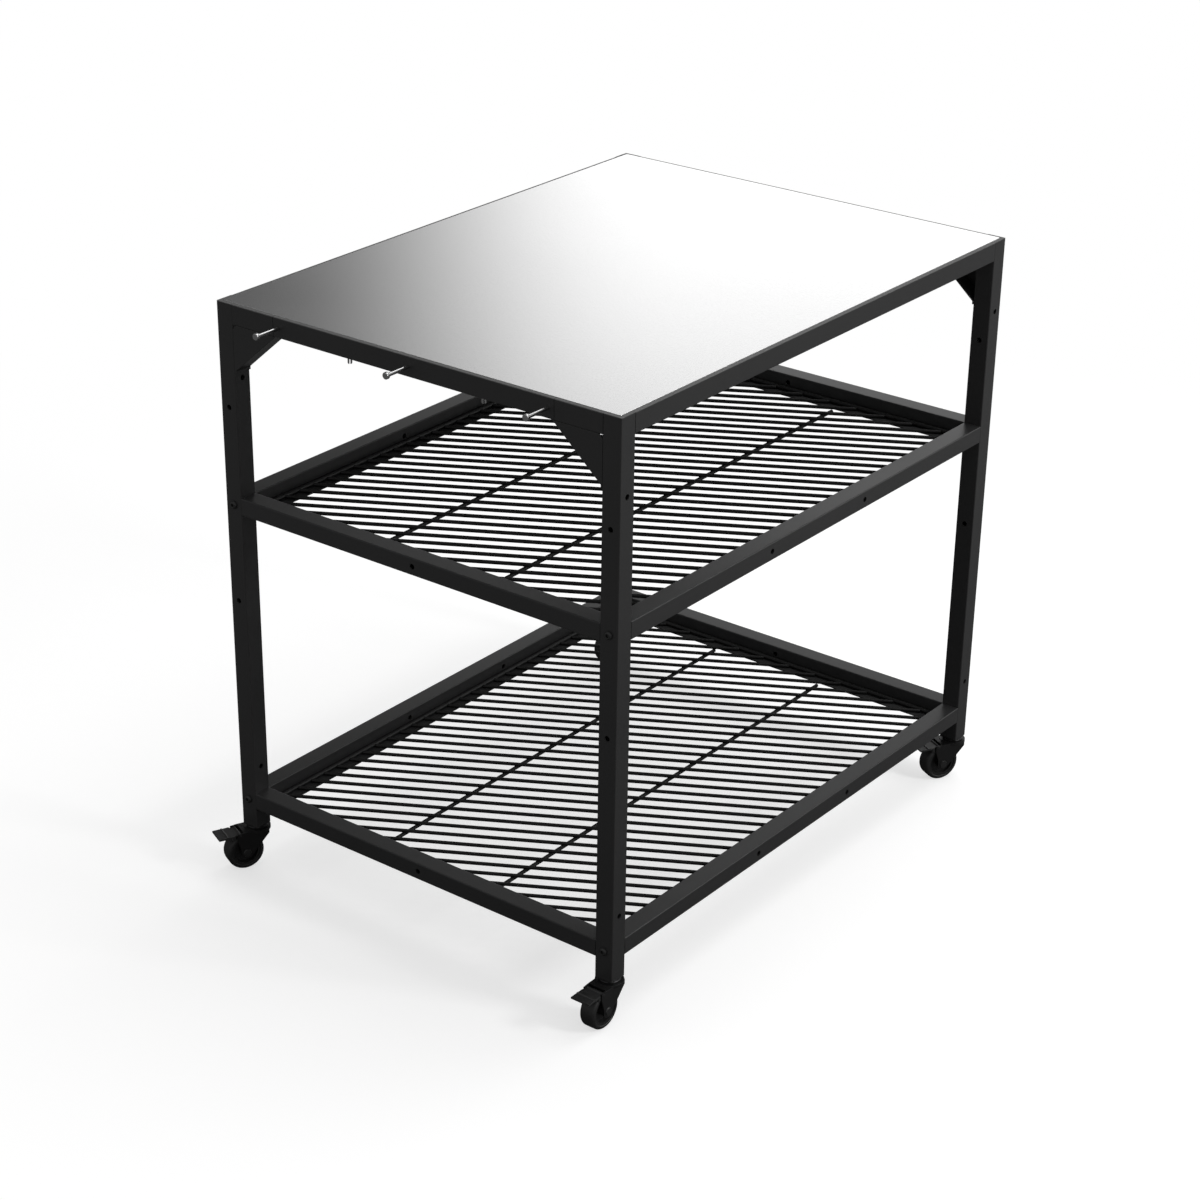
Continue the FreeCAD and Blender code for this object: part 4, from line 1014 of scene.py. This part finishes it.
class OVEN_OT_bolts(bpy.types.Operator):
    """Make the button-head bolts of the shelf frames"""

    bl_idname = "oven_table.bolts"
    bl_label = "Shelf bolts"

    def execute(self, context):
        sizes = context.scene.oven_sizes
        low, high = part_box("shelf_bolts")
        radius, tall = sizes.bolt_head / 2, sizes.bolt_tall
        shank, long, tip = 0.003, 0.032, 0.0005
        flat, hexagon, socket = radius * 0.52 + 0.0001, 0.002, 0.002
        dome = ((1, 0.22), (0.975, 0.42), (0.90, 0.64), (0.78, 0.82), (0.65, 0.94))
        rings = [(0, -long), (shank - tip, -long), (shank, tip - long), (shank, 0), (radius, 0)]
        rings += [(radius * wide, tall * up) for wide, up in dome]
        rings += [(flat, tall), (hexagon + 0.0003, tall, 6), (hexagon, tall - 0.0002, 6)]
        rings += [(hexagon, tall - socket, 6), (0, tall - socket - 0.0006)]
        part = turned("bolt_shape", rings, 48, Matrix.Rotation(pi / 2, 4, "X"))
        places = []
        for x in (low.x + radius, high.x - radius):
            for z in (low.z + radius, high.z - radius):
                places.append(((x, low.y + tall, z), 0.0))
                places.append(((x, high.y - tall, z), pi))
        piece = repeat("button_bolts", part, places, oxide_finish())
        fit(piece, "table", "bolts", "shelf_bolts")
        return {"FINISHED"}


class OVEN_OT_casters(bpy.types.Operator):
    """Finish the forks, pedals, axles, stems and leg plugs"""

    bl_idname = "oven_table.casters"
    bl_label = "Caster frames"

    def execute(self, context):
        width = context.scene.oven_sizes.fold_edge
        coat_node("caster_stems")
        softened_copy("leg_plugs", "leg_end_plugs", width)
        for corner in CORNERS:
            coat_node(f"caster_{corner}_axle")
            softened_copy(f"caster_{corner}_fork", f"fork_{corner}", width)
            softened_copy(f"caster_{corner}_pedal", f"brake_pedal_{corner}", width)
        return {"FINISHED"}


class OVEN_OT_wheels(bpy.types.Operator):
    """Make the wheels with their round-shouldered tyres"""

    bl_idname = "oven_table.wheels"
    bl_label = "Wheels"

    def execute(self, context):
        for corner in CORNERS:
            coat_node(f"caster_{corner}_wheel")
            self.tyre(corner)
        return {"FINISHED"}

    def tyre(self, corner):
        """A ring about the wheel's axle, crowned and rounded at both shoulders."""
        joint = JOINTS[f"{corner}_roll"]
        turn = Vector(joint["axis"]).normalized().to_track_quat("Z", "Y")
        place = Matrix.Translation(joint["pos_m"]) @ turn.to_matrix().to_4x4()
        half, outer, inner, shoulder, lip = 0.0105, 0.025, 0.0195, 0.004, 0.0006
        rings = [(inner, lip - half), (inner + lip, -half)]
        rings += arc((outer - shoulder, shoulder - half), shoulder, -90, -4, 7)
        rings += [(outer, 0)]
        rings += arc((outer - shoulder, half - shoulder), shoulder, 4, 90, 7)
        rings += [(inner + lip, half), (inner, half - lip)]
        mesh = turned(f"tyre_{corner}", rings, 72, place)
        mesh.materials.append(tyre_finish())
        piece = new_piece(f"tyre_{corner}", mesh)
        settle(piece)
        fit(piece, f"{corner}_wheel", "tyre", f"caster_{corner}_tyre")


OPERATORS = (OVEN_OT_stage, OVEN_OT_tubes, OVEN_OT_gussets, OVEN_OT_worktop, OVEN_OT_grilles,
             OVEN_OT_pegs, OVEN_OT_clips, OVEN_OT_bolts, OVEN_OT_casters, OVEN_OT_wheels)


class OVEN_PT_panel(bpy.types.Panel):
    """Steps that make the oven table"""

    bl_label = "Oven Table"
    bl_idname = "OVEN_PT_panel"
    bl_space_type = "VIEW_3D"
    bl_region_type = "UI"
    bl_category = "Oven Table"

    def draw(self, context):
        for step in OPERATORS:
            self.layout.operator(step.bl_idname)
        scene = context.scene
        for group in (scene.oven_finish, scene.oven_sizes, scene.oven_stage):
            box = self.layout.box()
            for key in group.bl_rna.properties.keys():
                if key not in ("rna_type", "name"):
                    box.prop(group, key)


CLASSES = (OvenTableFinish, OvenTableSizes, OvenTableStage, *OPERATORS, OVEN_PT_panel)


def register():
    for item in CLASSES:
        bpy.utils.register_class(item)
    bpy.types.Scene.oven_finish = PointerProperty(type=OvenTableFinish)
    bpy.types.Scene.oven_sizes = PointerProperty(type=OvenTableSizes)
    bpy.types.Scene.oven_stage = PointerProperty(type=OvenTableStage)


def unregister():
    del bpy.types.Scene.oven_finish, bpy.types.Scene.oven_sizes, bpy.types.Scene.oven_stage
    for item in reversed(CLASSES):
        bpy.utils.unregister_class(item)


def main():
    register()
    for step in OPERATORS:
        name = step.bl_idname.split(".")[1]
        getattr(bpy.ops.oven_table, name)()


if __name__ == "__main__":
    main()
